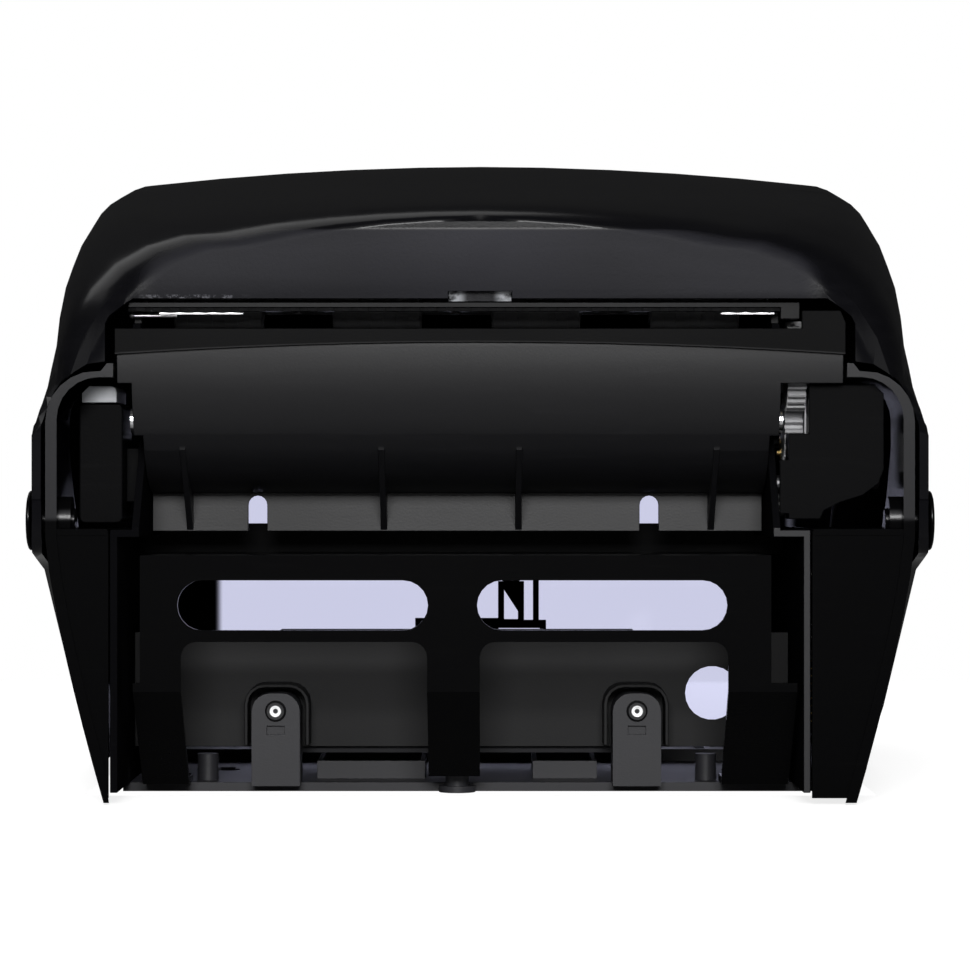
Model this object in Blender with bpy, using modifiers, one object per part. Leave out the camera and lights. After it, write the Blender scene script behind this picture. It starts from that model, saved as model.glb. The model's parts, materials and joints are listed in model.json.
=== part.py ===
"""Hands-free roll towel dispenser, modelled as the separate pieces it is assembled from.

Units are metres.  +X is the right-hand side as a user sees it, +Y points to the wall, +Z is up.
Every place in this file is measured from the wall plane (y), the cover's centre line (x) and the
bottom edge (z).  One root empty then lowers the whole assembly, so that the origin of the finished
model is the middle of the wall fixing holes, on the wall face.
"""
import math

import bmesh
import bpy
from mathutils import Matrix, Vector

# Whole body
BODY_HEIGHT = 0.367
FIXING_HEIGHT = 0.205
AIR = 0.0003
OVERRUN = 0.004
BITE = 0.0006
ARC_STEPS = 5
ROUND_SIDES = 22

# Cover shell, with sections given as shares of its depth, half width, height and corner radius
COVER_DEPTH = 0.2315
COVER_HALF_WIDTH = 0.147
COVER_CORNER = 0.058
COVER_BOW = 0.009
COVER_WALL = 0.003
COVER_WALL_CLEARANCE = 0.001
COVER_SECTION_SHARES = (
    (0.000, 0.820, 0.9930, 0.900, 1.00, 1.00),
    (0.007, 0.830, 0.9970, 0.920, 0.97, 0.94),
    (0.019, 0.839, 1.0000, 0.936, 0.93, 0.89),
    (0.038, 0.847, 1.0000, 0.951, 0.88, 0.89),
    (0.068, 0.855, 1.0000, 0.961, 0.83, 0.89),
    (0.123, 0.868, 1.0000, 0.973, 0.74, 0.83),
    (0.218, 0.888, 1.0000, 0.983, 0.59, 0.78),
    (0.354, 0.916, 1.0000, 0.993, 0.47, 0.78),
    (0.518, 0.952, 1.0000, 0.998, 0.37, 0.78),
    (0.681, 0.983, 0.9970, 0.996, 0.35, 0.78),
    (0.804, 0.999, 0.9830, 0.983, 0.38, 0.78),
    (0.886, 0.996, 0.9590, 0.959, 0.45, 0.78),
    (0.940, 0.968, 0.9250, 0.925, 0.52, 0.78),
    (0.975, 0.920, 0.8780, 0.878, 0.59, 0.78),
    (0.995, 0.855, 0.8100, 0.810, 0.62, 0.78),
    (1.000, 0.778, 0.7280, 0.728, 0.66, 0.78),
)
COVER_FRONT_STEPS = 5
COVER_CORNER_STEPS = 7
COVER_SIDE_STEPS = 4
COVER_SIDE_START_SHARE = 0.518
PARTING_SHARES = (
    (0.560, -0.030), (0.545, -0.012), (0.440, -0.012), (0.425, 0.003), (0.375, 0.006),
    (0.352, 0.022), (0.344, 0.050), (0.325, 0.120), (0.200, 0.285), (0.100, 0.415),
    (0.024, 0.545), (0.004, 0.580),
)
OPENING_TOP = 0.022
UNDERSIDE_REAR = 0.1646
OPENING_HALF_WIDTH = 0.1433
OPENING_SIDE_FRONT = 0.1235
OPENING_SLOT_HALF = 0.1224
OPENING_SWEEP_SHARES = (
    (0.00, 0.00), (0.04, 0.18), (0.14, 0.42), (0.30, 0.64), (0.50, 0.83), (0.72, 0.96), (1.00, 1.00),
)
OPENING_SWEEP_FRONT = 0.1440
SLOT_CORNER_SHARES = ((0.00, 0.60), (0.01, 0.72), (0.04, 0.86), (0.075, 1.00))
SWING_ANGLES = (4, 7.5, 11, 14.5, 18, 21.5, 25)
SWING_INSIDE = 0.1180
SWING_REAR = 0.1080
SWING_HEIGHTS = (-0.0014, 0.0300)
SWING_ROOM = 0.0004
SENSOR_NOTCH_WIDTH = 0.0210
SENSOR_NOTCH_DEPTH = 0.0024

# Cover pivots
PIVOT_DEPTH = 0.092
PIVOT_HEIGHT = 0.0125
PIN_HEAD_RADIUS = 0.0098
PIN_HEAD_HEIGHT = 0.0014
PIN_RADIUS = 0.0040
PIN_END_HALF_WIDTH = 0.1330
PIVOT_BOSS_RADIUS = 0.0080
PIVOT_BOSS_LENGTH = 0.0040

# Side housings
RIM_HALF_WIDTH = 0.1418
RIM_FRONT = 0.1409
RIM_WALL = 0.0037
RIM_FRONT_WALL = 0.0020
RIM_CORNER = 0.0165
RIM_STEPS = 6
JOGGLE_HALF_WIDTH = 0.1197
JOGGLE_FRONT = 0.1434
JOGGLE_WALL = 0.0020
FOOT_HALF_WIDTH = 0.1228
TAPER_START = 0.0860
TAPER_POWER = 1.3
TAPER_STEPS = 7
FLARE_HEIGHT = 0.150
FLARE_HALF_WIDTH = 0.1405
HOUSING_HEIGHT = 0.206
HOUSING_TOP_SHARES = (
    (0.660, 0.110), (0.500, 0.110), (0.430, 0.150), (0.310, 0.260), (0.190, 0.420), (0.012, 0.548),
)
POD_FRONT = 0.0893
POD_FLOOR = 0.0025
POD_FRONT_WALL = 0.0020
POD_FRONT_HEIGHT = 0.0900

# Roll compartment
BAY_LEFT = -0.1112
BAY_RIGHT = 0.0956
PARTITION_WALL = 0.0024
STEP_DEPTH = 0.0879
STEP_LEFT = 0.0071
STEP_RIGHT = 0.0098
PARTITION_FRONT = 0.1197
PARTITION_FRONT_TOP = 0.135
PARTITION_REAR_TOP = 0.200
PARTITION_SLOPE_DEPTH = 0.060
CHAMFER_HEIGHT = 0.031
CHAMFER_DEPTH = 0.0300

# Belly panel
BELLY_RADIUS = 0.0480
BELLY_DEPTH = 0.1490
BELLY_RISE = 0.0012
BELLY_WALL = 0.0024
BELLY_STEPS = 10
LEDGE_REAR = 0.0881
LIP_FRONT = 0.1548
LIP_BACK = 0.1503
LIP_BOW = 0.0040
LIP_HEIGHT = 0.0032
LIP_HALF_WIDTH = 0.1192
LIP_RIGHT = 0.1050
LIP_RIGHT_FRONT = 0.1606
LIP_RIGHT_REACH = 0.1175
BELLY_WIDE_REAR = 0.1370
GUSSET_WALL = 0.0020
GUSSET_SHARES = (0.063, 0.380, 0.600, 0.915)
LEDGE_SLOT_WIDTH = 0.0064
LEDGE_SLOT_DEPTH = 0.0120
LEDGE_SLOT_SHARES = (0.1735, 0.8140)

# Slotted tray
TRAY_LEFT = -0.1110
TRAY_RIGHT = 0.0950
TRAY_FRONT = 0.0808
TRAY_BEND = 0.0367
TRAY_WALL = 0.0024
TRAY_UPSTAND = 0.0744
TRAY_FLANGE_FRONT = 0.0905
TRAY_FLANGE_EARS = (0.0062, 0.0090)
TRAY_FLANGE_EAR_FRONT = 0.0863
TRAY_SLOT_WIDTH = 0.0163
TRAY_SLOT_FRONT = 0.0726
TRAY_SLOTS = ((-0.0988, -0.0170), (-0.0010, 0.0807))
TRAY_WINDOW_FRONT = 0.0525
TRAY_WINDOW_CORNER = 0.0050
TRAY_WINDOWS = ((-0.0977, -0.0173), (-0.0001, 0.0810))
LEG_REAR = 0.0070
LEG_RISE = 0.0360
LEG_HOOK = 0.0560
LEGS = ((-0.1133, -0.0977), (-0.0173, -0.0001), (0.0810, 0.1035))

# Back plate
PLATE_WALL = 0.0030
PLATE_BOTTOM = 0.0500
PLATE_TOP = 0.3580
PLATE_HALF_WIDTH = 0.1340
PLATE_FOOT_HALF_WIDTH = 0.1210
PLATE_CORNER = 0.0320
PLATE_FLARE_TOP = 0.200
RIB_DEPTH = 0.0045
RIB_WALL = 0.0022
RIB_MARGIN = 0.0080
RIB_HEIGHT_SHARES = (0.33, 0.62, 0.75)
RIB_WIDTH_SHARES = (-0.62, 0.0, 0.62)
FIXING_SPACING_X = 0.180
FIXING_SPACING_Z = 0.190
KEYHOLE_RADIUS = 0.0050
KEYHOLE_SLOT = 0.0060
KEYHOLE_LENGTH = 0.0120
STANDOFF_RADIUS = 0.0036
STANDOFF_LENGTH = 0.0120
STANDOFF_HEIGHT = 0.0620
STANDOFFS = (-0.0930, 0.0770)
FOOT_PEG_X = -0.0078
FOOT_PEG_HEIGHT = 0.0470
FOOT_PEG_RADIUS = 0.0040
FOOT_PEG_LENGTH = 0.0058
FOOT_PEG_FLANGE = 0.0062
FOOT_PEG_FLANGE_WALL = 0.0022
RAIL_DEPTH = 0.0060
RAIL_WALL = 0.0016
RAIL_HEIGHTS = (0.0680, 0.1120)
RAILS = ((-0.0560, -0.0190), (0.0180, 0.0400))

# Screw tabs on the back plate and the floor panel that rests on them
TAB_X = (-0.0688, 0.0527)
TAB_WIDTH = 0.0163
TAB_FRONT = 0.0336
TAB_CORNER = 0.0062
TAB_BOTTOM = 0.0400
TAB_SCREW_DEPTH = 0.0277
TAB_POCKET = (0.0060, 0.0030)
TAB_POCKET_DEPTH = 0.0212
TAB_POCKET_CUT = 0.0012
FLOOR_HEIGHT = 0.0600
FLOOR_WALL = 0.0024
FLOOR_FRONT = 0.0535
FLOOR_REAR = 0.0145
CABLE_HOLE_RADIUS = 0.0092
CABLE_HOLE_X = 0.0791
CABLE_HOLE_DEPTH = 0.0327
SKIRT_GAP = 0.0016
SKIRT_WALL = 0.0012
SKIRT_DROP = 0.0130
SCREW_HEAD_RADIUS = 0.0036
SCREW_HEAD_HEIGHT = 0.0018
SCREW_RADIUS = 0.0017
SCREW_SOCKET_RADIUS = 0.0015
SCREW_SOCKET_DEPTH = 0.0011

# Feed frames and the shafts that they carry
FRAME_WALL = 0.0024
FRAME_FRONT = 0.1740
FRAME_NOSE = 0.1565
FRAME_NOSE_HEIGHT = 0.0160
FRAME_TOP = 0.0580
FRAME_FRONT_TOP = 0.0400
DRIVE_DEPTH = 0.1430
DRIVE_HEIGHT = 0.0220
DRIVE_SHAFT_RADIUS = 0.0030
DRIVE_SLEEVE_RADIUS = 0.0120
DRIVE_CORE_RADIUS = 0.0050
DRIVE_TYRE_LENGTH = 0.0360
DRIVE_END_GAP = 0.0010
TYRE_SHARES = (0.12, 0.373, 0.627, 0.88)
BUSH_RADIUS = 0.0052
BUSH_FLANGE_RADIUS = 0.0068
BUSH_FLANGE_WALL = 0.0012
RUN_CLEARANCE = 0.0003
PINCH_SHAFT_RADIUS = 0.0025
PINCH_SLEEVE_RADIUS = 0.0090
PINCH_CORE_RADIUS = 0.0042
PINCH_TYRE_LENGTH = 0.0300
PINCH_TRAVEL = 0.0020
CARRIER_WALL = 0.0036
CARRIER_HALF_HEIGHT = 0.0060
CARRIER_DEPTH = 0.0090
SPRING_SEAT_WALL = 0.0016
SPRING_RADIUS = 0.0016
SPRING_WIRE = 0.0004
SPRING_TURNS = 3
TIE_RADIUS = 0.0025
TIE_COLLAR_RADIUS = 0.0040
TIE_COLLAR_WALL = 0.0020
TIE_DEPTH = 0.1250
TIE_HEIGHT = 0.0240

# Transfer bar above the rollers
TRANSFER_DEPTH = 0.1345
TRANSFER_HEIGHT = 0.0480
TRANSFER_WALL = 0.0016
TRANSFER_TIP_DEPTH = 0.1600
TRANSFER_TIP_HEIGHT = 0.0360
TRANSFER_PIN_RADIUS = 0.0016
TRANSFER_FINGERS = 10
TRANSFER_FINGER_GAP = 0.0060
TRANSFER_FINGER_LENGTH = 0.0090

# Exit slot: front rail, tear bar, sensor, paper springs
RAIL_FRONT = 0.1634
RAIL_REAR = 0.1618
RAIL_BOTTOM = 0.0036
RAIL_TOP = 0.0125
RAIL_LEFT = -0.1150
RAIL_RIGHT = 0.1044
RAIL_LUG_DEPTH = 0.0037
TEAR_FRONT = 0.1615
TEAR_WALL = 0.0010
TEAR_BOTTOM = 0.0012
TEAR_TOP = 0.0100
TOOTH_PITCH = 0.0055
TOOTH_HEIGHT = 0.0018
STAKE_SHARES = (0.25, 0.50, 0.75)
STAKE_HEIGHT = 0.0068
STAKE_RADIUS = 0.0012
STAKE_HEAD_RADIUS = 0.0022
STAKE_HEAD_WALL = 0.0007
SENSOR_CASE_HALF_WIDTH = 0.0150
SENSOR_CASE_FRONT = 0.1800
SENSOR_CASE_TOP = 0.0118
SENSOR_LENS_HALF_WIDTH = 0.0103
SENSOR_LENS_WALL = 0.0014
SENSOR_LENS_FRONT = 0.1740
STRIP_WALL = 0.0006
STRIP_HEIGHT = 0.0056
STRIP_BOTTOM = 0.0042
STRIPS = ((-0.1050, -0.0776), (0.0788, 0.0962))
STRIP_WIRE_RADIUS = 0.0006
STRIP_BALL_RADIUS = 0.0010
STRIP_WIRE_LENGTH = 0.0090

# Gears, motor and gearbox in the right pocket
GEAR_LEFT = 0.1012
GEAR_WIDTH = 0.0060
GEAR_MODULE = 0.0010
DRIVE_TEETH = 28
IDLER_TEETH = 20
PINION_TEETH = 10
GEAR_BACKLASH = 0.00015
IDLER_ANGLE = 30.0
PINION_ANGLE = 60.0
IDLER_BORE = 0.0021
MESH_ADDENDUM = 0.9
MESH_DEDENDUM = 1.15
GEAR_PLATE_WALL = 0.0015
GEAR_PLATE_BOTTOM = 0.0207
GEAR_PLATE_MARGIN = 0.0120
GEAR_POST_RADIUS = 0.0030
GEAR_POSTS = ((0.1380, 0.0500), (0.1040, 0.0360))
MOTOR_RADIUS = 0.0130
MOTOR_LENGTH = 0.0250
MOTOR_FLAT = 0.0100
MOTOR_NOSE_RADIUS = 0.0035
MOTOR_NOSE_LENGTH = 0.0012
MOTOR_SHAFT_RADIUS = 0.0010
MOTOR_CAP_LENGTH = 0.0030
CASE_LEFT = 0.1012
CASE_STEP = 0.1079
CASE_RIGHT = 0.1325
CASE_FRONT = 0.1366
CASE_CORNER = 0.0030
CASE_STEP_DEPTH = 0.1206
CASE_REAR = 0.0925
CASE_BOTTOM = 0.0080
CASE_TOP = 0.0202
CASE_WALL = 0.0018
CASE_SWEEP_SHARES = ((1.00, 0.58), (0.93, 0.42), (0.72, 0.28), (0.40, 0.19), (0.20, 0.10), (0.15, 0.0))
CASE_LUG_DEPTH = 0.1120
SADDLE_WALL = 0.0020

# Power module in the left pocket
MODULE_RIGHT = -0.1182
MODULE_LEFT = -0.1325
MODULE_FRONT = 0.1306
MODULE_REAR = 0.0912
MODULE_BOTTOM = 0.0180
MODULE_TOP = 0.0520
MODULE_CORNER = 0.0020
MODULE_CAP_FRONT = 0.1364
MODULE_CAP_LEFT = -0.1315
MODULE_CAP_RIGHT = -0.1200
MODULE_LUG = (0.1160, 0.0980)
MODULE_LUG_HEIGHTS = (0.0320, 0.0480)

# Roll arms and hubs
ROLL_DEPTH = 0.1160
ROLL_HEIGHT = 0.2320
ARM_WALL = 0.0030
ARM_HEAD_RADIUS = 0.0190
ARM_BASE_FRONT = 0.1190
ARM_BASE_REAR = 0.0930
ARM_BASE_BOTTOM = 0.0700
ARM_WAIST_HEIGHT = 0.1300
ARM_WAIST_HALF = 0.0095
ARM_RIB_WALL = 0.0016
ARM_RIB_DEPTH = 0.0030
ARM_LEFT_FACE = -0.1139
ARM_RIGHT_FACE = 0.0985
ARM_AXLE_RADIUS = 0.0040
ARM_AXLE_LENGTH = 0.0120
ARM_SCREW_HEIGHT = 0.1120
ARM_STUD_HEIGHT = 0.0820
ARM_STUD_RADIUS = 0.0025
ARM_SCREW_DEPTH = 0.1060
HUB_FLANGE_RADIUS = 0.0240
HUB_FLANGE_WALL = 0.0024
HUB_NOSE_RADIUS = 0.0182
HUB_TIP_RADIUS = 0.0150
HUB_LENGTH = 0.0136
HUB_CAP_WALL = 0.0012
ARM_PIVOT_X = 0.1024
ARM_PIVOT_HEIGHT = 0.0700
ARM_BARREL_RADIUS = 0.0031
ARM_PIN_RADIUS = 0.0016
ARM_BARREL_FRONT = 0.1165
ARM_BARREL_REAR = 0.1040
LUG_WALL = 0.0024
LUG_FRONT = 0.1197
LUG_REAR = 0.0923
LUG_HALF_HEIGHT = 0.0040
ARM_SPRING_WIRE = 0.0006
ARM_SPRING_RADIUS = 0.0033
ARM_SPRING_TURNS = 3

# Battery box
CELL_RADIUS = 0.0171
CELL_CLEARANCE = 0.0005
CELL_DEPTH = 0.0308
BOX_WALL = 0.0016
BOX_MIDDLE_X = -0.0085
BOX_HALF_WIDTH = 0.0650
BOX_FRONT = 0.0493
BOX_REAR = 0.0122
BOX_BOTTOM = 0.0627
BOX_TOP = 0.1362
DOOR_WALL = 0.0019
DOOR_PIN_RADIUS = 0.0010
DOOR_EAR = 0.0025
DOOR_GRIP = (0.0300, 0.0040)
CONTACT_WALL = 0.0004
CONTACT_HALF_HEIGHT = 0.0085

# Electronics
BOARD_FRONT = 0.0820
BOARD_REAR = 0.0140
BOARD_BOTTOM = 0.0500
BOARD_TOP = 0.1200
BOARD_WALL = 0.0016
CONTROL_FRONT = 0.0840
CONTROL_REAR = 0.0500
CONTROL_RIGHT = 0.1340
CONTROL_BOTTOM = 0.1310
CONTROL_TOP = 0.1660
CONTROL_CORNER = 0.0030
BUTTON_RADIUS = 0.0048
BUTTON_LENGTH = 0.0075
BUTTON_PROUD = 0.0030
BUTTON_TRAVEL = 0.0020
SWITCH_WIDTH = 0.0050
SWITCH_HEIGHT = 0.0036
SWITCH_PROUD = 0.0022
SWITCH_TRAVEL = 0.0035

# Cover lock and the latch plate it hooks behind
LATCH_X = 0.01235
LATCH_HEIGHT = 0.3400
LATCH_WALL = 0.0040
LATCH_LEFT = -0.0005
LATCH_RIGHT = 0.0268
LATCH_BAR_FRONT = 0.0480
LATCH_BAR_REAR = 0.0447
LATCH_LOOP_FRONT = 0.0640
LATCH_LOOP_HALF = 0.00535
LATCH_LOOP_WALL = 0.0025
LATCH_GUIDE = (0.0214, 0.0238)
LATCH_GUIDE_FRONT = 0.0650
LATCH_LIP_DROP = 0.0040
LATCH_FOOT_HEIGHT = 0.0200
LATCH_FOOT_WALL = 0.0040
LOCK_DEPTH = 0.0700
LOCK_RADIUS = 0.0070
LOCK_BARREL_LENGTH = 0.0200
LOCK_STEM_RADIUS = 0.0022
LOCK_ARM_LENGTH = 0.0120
LOCK_ARM_HALF = 0.0018
LOCK_ARM_HEIGHTS = (0.3318, 0.3354)
LOCK_TIP_RADIUS = 0.0014
LOCK_TIP_TOP = 0.3394
KEY_SLOT = (0.0012, 0.0070)
KEY_SLOT_DEPTH = 0.0060

# Looks: base colour, roughness, metallic
FINISHES = {
    "matte_black": ((0.020, 0.020, 0.022), 0.55, 0.0),
    "gloss_black": ((0.010, 0.010, 0.011), 0.18, 0.0),
    "smoke_cover": ((0.030, 0.028, 0.036), 0.12, 0.0),
    "steel": ((0.62, 0.62, 0.63), 0.28, 1.0),
    "dark_steel": ((0.30, 0.30, 0.31), 0.35, 1.0),
    "rubber": ((0.035, 0.035, 0.036), 0.75, 0.0),
    "nylon": ((0.62, 0.62, 0.64), 0.45, 0.0),
    "brass": ((0.65, 0.48, 0.22), 0.30, 1.0),
    "board_green": ((0.03, 0.16, 0.07), 0.45, 0.0),
    "lens": ((0.05, 0.012, 0.014), 0.08, 0.0),
    "button_grey": ((0.36, 0.37, 0.39), 0.50, 0.0),
    "light_white": ((0.75, 0.76, 0.74), 0.30, 0.0),
}

# Axis frames: an outline's first and second coordinates and the direction it is swept in
PLAN = Matrix.Identity(4)
SIDE = Matrix(((0, 0, 1, 0), (1, 0, 0, 0), (0, 1, 0, 0), (0, 0, 0, 1)))
FRONT = Matrix(((1, 0, 0, 0), (0, 0, -1, 0), (0, 1, 0, 0), (0, 0, 0, 1)))

# Places that follow from the sizes above
LEFT_OUTER = BAY_LEFT - PARTITION_WALL
RIGHT_OUTER = BAY_RIGHT + PARTITION_WALL
BAY_WIDTH = BAY_RIGHT - BAY_LEFT
BELLY_AXIS_HEIGHT = BELLY_RISE + BELLY_RADIUS
PINCH_DEPTH = DRIVE_DEPTH + DRIVE_SLEEVE_RADIUS + PINCH_SLEEVE_RADIUS + AIR
DRIVE_PITCH = GEAR_MODULE * DRIVE_TEETH / 2
IDLER_PITCH = GEAR_MODULE * IDLER_TEETH / 2
PINION_PITCH = GEAR_MODULE * PINION_TEETH / 2
GEAR_RIGHT = GEAR_LEFT + GEAR_WIDTH


def polar(centre, radius, degrees):
    """Point at an angle round a centre, in an outline's own two coordinates."""
    angle = math.radians(degrees)
    return (centre[0] + radius * math.cos(angle), centre[1] + radius * math.sin(angle))


IDLER_CENTRE = polar((-DRIVE_DEPTH, DRIVE_HEIGHT), DRIVE_PITCH + IDLER_PITCH + GEAR_BACKLASH, IDLER_ANGLE)
MOTOR_CENTRE = polar(IDLER_CENTRE, IDLER_PITCH + PINION_PITCH + GEAR_BACKLASH, PINION_ANGLE)


# Scene set-up

for old in list(bpy.data.objects):
    bpy.data.objects.remove(old, do_unlink=True)

PARTS = bpy.data.collections.new("towel_dispenser")
CUTTERS = bpy.data.collections.new("cutters")
bpy.context.scene.collection.children.link(PARTS)
bpy.context.scene.collection.children.link(CUTTERS)

ROOT = bpy.data.objects.new("wall_fixing_origin", None)
ROOT.location = (0, 0, -FIXING_HEIGHT)
PARTS.objects.link(ROOT)


def finish_material(key):
    """Principled material for a finish, made once."""
    found = bpy.data.materials.get(key)
    if found:
        return found
    colour, roughness, metallic = FINISHES[key]
    made = bpy.data.materials.new(key)
    made.use_nodes = True
    shader = made.node_tree.nodes["Principled BSDF"]
    shader.inputs["Base Color"].default_value = (*colour, 1)
    shader.inputs["Roughness"].default_value = roughness
    shader.inputs["Metallic"].default_value = metallic
    return made


# Outlines

def arc(centre, radius, start, end, steps=ARC_STEPS):
    """Points along a circular arc, from one angle to another in degrees."""
    return [polar(centre, radius, start + (end - start) * i / steps) for i in range(steps + 1)]


def circle(centre, radius, sides=ROUND_SIDES):
    """Closed round outline."""
    return arc(centre, radius, 0, 360, sides)[:-1]


def rectangle(us, vs):
    """Closed rectangle between two pairs of coordinates."""
    return [(us[0], vs[0]), (us[1], vs[0]), (us[1], vs[1]), (us[0], vs[1])]


def rounded(corners, steps=ARC_STEPS):
    """Closed outline from (u, v, radius) corners, with an arc in place of each rounded one."""
    points = []
    for index, (u, v, radius) in enumerate(corners):
        here = Vector((u, v))
        before = Vector(corners[index - 1][:2]) - here
        after = Vector(corners[(index + 1) % len(corners)][:2]) - here
        if radius <= 0:
            points.append((u, v))
            continue
        half = before.angle(after) / 2
        reach = radius / math.tan(half)
        start = here + before.normalized() * reach
        end = here + after.normalized() * reach
        middle = here + (before.normalized() + after.normalized()).normalized() * (radius / math.sin(half))
        sweep = (start - middle).angle_signed(end - middle)
        for step in range(steps + 1):
            turned_by = -sweep * step / steps
            spoke = start - middle
            points.append((
                middle.x + spoke.x * math.cos(turned_by) - spoke.y * math.sin(turned_by),
                middle.y + spoke.x * math.sin(turned_by) + spoke.y * math.cos(turned_by),
            ))
    return points


def stadium(us, vs):
    """Slot outline with fully round ends, as long as the larger of its two spans."""
    radius = min(us[1] - us[0], vs[1] - vs[0]) / 2 * (1 - BITE)
    return rounded([(u, v, radius) for u, v in rectangle(us, vs)])


def gear_outline(centre, teeth, first_tooth):
    """Outline of a spur gear with one tooth centred on the angle first_tooth."""
    pitch = GEAR_MODULE * teeth / 2
    outer = pitch + MESH_ADDENDUM * GEAR_MODULE
    root = pitch - MESH_DEDENDUM * GEAR_MODULE
    step = 360 / teeth
    points = []
    for tooth in range(teeth):
        middle = first_tooth + tooth * step
        for radius, share in ((root, -0.32), (outer, -0.12), (outer, 0.12), (root, 0.32)):
            points.append(polar(centre, radius, middle + share * step))
    return points


# Solids

def as_mesh(obj, placement):
    """Evaluated copy of a helper object as one welded mesh object, in the assembly's coordinates."""
    scene_objects = bpy.context.scene.collection.objects
    scene_objects.link(obj)
    bpy.context.view_layer.update()
    evaluated = obj.evaluated_get(bpy.context.evaluated_depsgraph_get())
    mesh = bpy.data.meshes.new_from_object(evaluated)
    mesh.transform(placement)
    name = obj.name
    bpy.data.objects.remove(obj, do_unlink=True)
    shape = bmesh.new()
    shape.from_mesh(mesh)
    bmesh.ops.remove_doubles(shape, verts=shape.verts, dist=AIR / 30)
    bmesh.ops.recalc_face_normals(shape, faces=shape.faces)
    shape.to_mesh(mesh)
    shape.free()
    mesh.name = name
    return bpy.data.objects.new(name, mesh)


def prism(name, plane, outlines, low, high):
    """Flat outlines, inner ones being holes, swept from low to high square to their plane."""
    curve = bpy.data.curves.new(name, "CURVE")
    curve.dimensions = "2D"
    curve.fill_mode = "BOTH"
    curve.extrude = (high - low) / 2
    for outline in outlines:
        spline = curve.splines.new("POLY")
        spline.points.add(len(outline) - 1)
        for point, (u, v) in zip(spline.points, outline):
            point.co = (u, v, 0, 1)
        spline.use_cyclic_u = True
    middle = (low + high) / 2
    if plane is FRONT:
        middle = -middle
    return as_mesh(bpy.data.objects.new(name, curve), plane @ Matrix.Translation((0, 0, middle)))


def box(name, xs, ys, zs):
    """Rectangular block between pairs of coordinates."""
    mesh = bpy.data.meshes.new(name)
    shape = bmesh.new()
    bmesh.ops.create_cube(shape, size=1)
    for vert in shape.verts:
        vert.co = Vector([pair[0] if side < 0 else pair[1] for pair, side in zip((xs, ys, zs), vert.co)])
    shape.to_mesh(mesh)
    shape.free()
    return bpy.data.objects.new(name, mesh)


def cylinder(name, axis, centre, radius, low, high, sides=ROUND_SIDES, end_radius=None):
    """Round bar along an axis frame's sweep direction, centred on an outline point."""
    mesh = bpy.data.meshes.new(name)
    shape = bmesh.new()
    bmesh.ops.create_cone(
        shape, cap_ends=True, segments=sides, radius1=radius,
        radius2=radius if end_radius is None else end_radius, depth=high - low,
    )
    middle = (low + high) / 2
    if axis is FRONT:
        middle = -middle
    shape.transform(axis @ Matrix.Translation((centre[0], centre[1], middle)))
    shape.to_mesh(mesh)
    shape.free()
    return bpy.data.objects.new(name, mesh)


def turned(name, axis, centre, profile, closed=False, sides=ROUND_SIDES):
    """Turned solid: profile lists (along, radius), closed for a ring with a bore."""
    mesh = bpy.data.meshes.new(name)
    last = len(profile) - 1
    edges = [(i, i + 1) for i in range(last)] + ([(last, 0)] if closed else [])
    mesh.from_pydata([(radius, 0, along) for along, radius in profile], edges, [])
    obj = bpy.data.objects.new(name, mesh)
    screw = obj.modifiers.new("turn", "SCREW")
    screw.steps = sides
    screw.render_steps = sides
    screw.use_merge_vertices = True
    screw.merge_threshold = AIR / 30
    return as_mesh(obj, axis @ Matrix.Translation((centre[0], centre[1], 0)))


def sheet(name, plane, path, low, high, wall, side=0.0):
    """Bent plate: an open path swept square to its plane, given its wall by Solidify."""
    mesh = bpy.data.meshes.new(name)
    shape = bmesh.new()
    verts = [shape.verts.new((u, v, low)) for u, v in path]
    edges = [shape.edges.new(pair) for pair in zip(verts, verts[1:])]
    swept = bmesh.ops.extrude_edge_only(shape, edges=edges)
    moved = [item for item in swept["geom"] if isinstance(item, bmesh.types.BMVert)]
    bmesh.ops.translate(shape, verts=moved, vec=(0, 0, high - low))
    shape.to_mesh(mesh)
    shape.free()
    obj = bpy.data.objects.new(name, mesh)
    solid = obj.modifiers.new("wall", "SOLIDIFY")
    solid.thickness = wall
    solid.offset = side
    solid.use_even_offset = True
    return as_mesh(obj, plane)


def wire(name, points, radius, sides_resolution=1):
    """Round wire through points."""
    curve = bpy.data.curves.new(name, "CURVE")
    curve.dimensions = "3D"
    curve.bevel_depth = radius
    curve.bevel_resolution = sides_resolution
    curve.use_fill_caps = True
    spline = curve.splines.new("POLY")
    spline.points.add(len(points) - 1)
    for point, place in zip(spline.points, points):
        point.co = (*place, 1)
    return as_mesh(bpy.data.objects.new(name, curve), Matrix.Identity(4))


def coil_points(axis, centre, radius, low, high, turns, steps=8):
    """Helix along an axis frame's sweep direction."""
    points = []
    for i in range(turns * steps + 1):
        u, v = polar(centre, radius, 360 * i / steps)
        along = low + (high - low) * i / (turns * steps)
        points.append(axis @ Vector((u, v, -along if axis is FRONT else along)))
    return points


def combined(name, *shapes):
    """Several separate solids as one guide, as for a row of like cutters."""
    mesh = bpy.data.meshes.new(name)
    whole = bmesh.new()
    for shape in shapes:
        whole.from_mesh(shape.data)
        bpy.data.objects.remove(shape, do_unlink=True)
    whole.to_mesh(mesh)
    whole.free()
    return bpy.data.objects.new(name, mesh)


def guide(obj):
    """Put a cutter or an added lump out of sight; the piece's modifier uses it."""
    CUTTERS.objects.link(obj)
    obj.parent = ROOT
    obj.hide_render = True
    obj.display_type = "WIRE"
    return obj


def boolean(piece, operation, others):
    """Live exact Boolean modifiers, one for each other solid."""
    for other in others:
        modifier = piece.modifiers.new(other.name, "BOOLEAN")
        modifier.operation = operation
        modifier.solver = "EXACT"
        modifier.object = guide(other)
    return piece


def cut(piece, *others):
    """Take solids out of a piece."""
    return boolean(piece, "DIFFERENCE", others)


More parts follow.
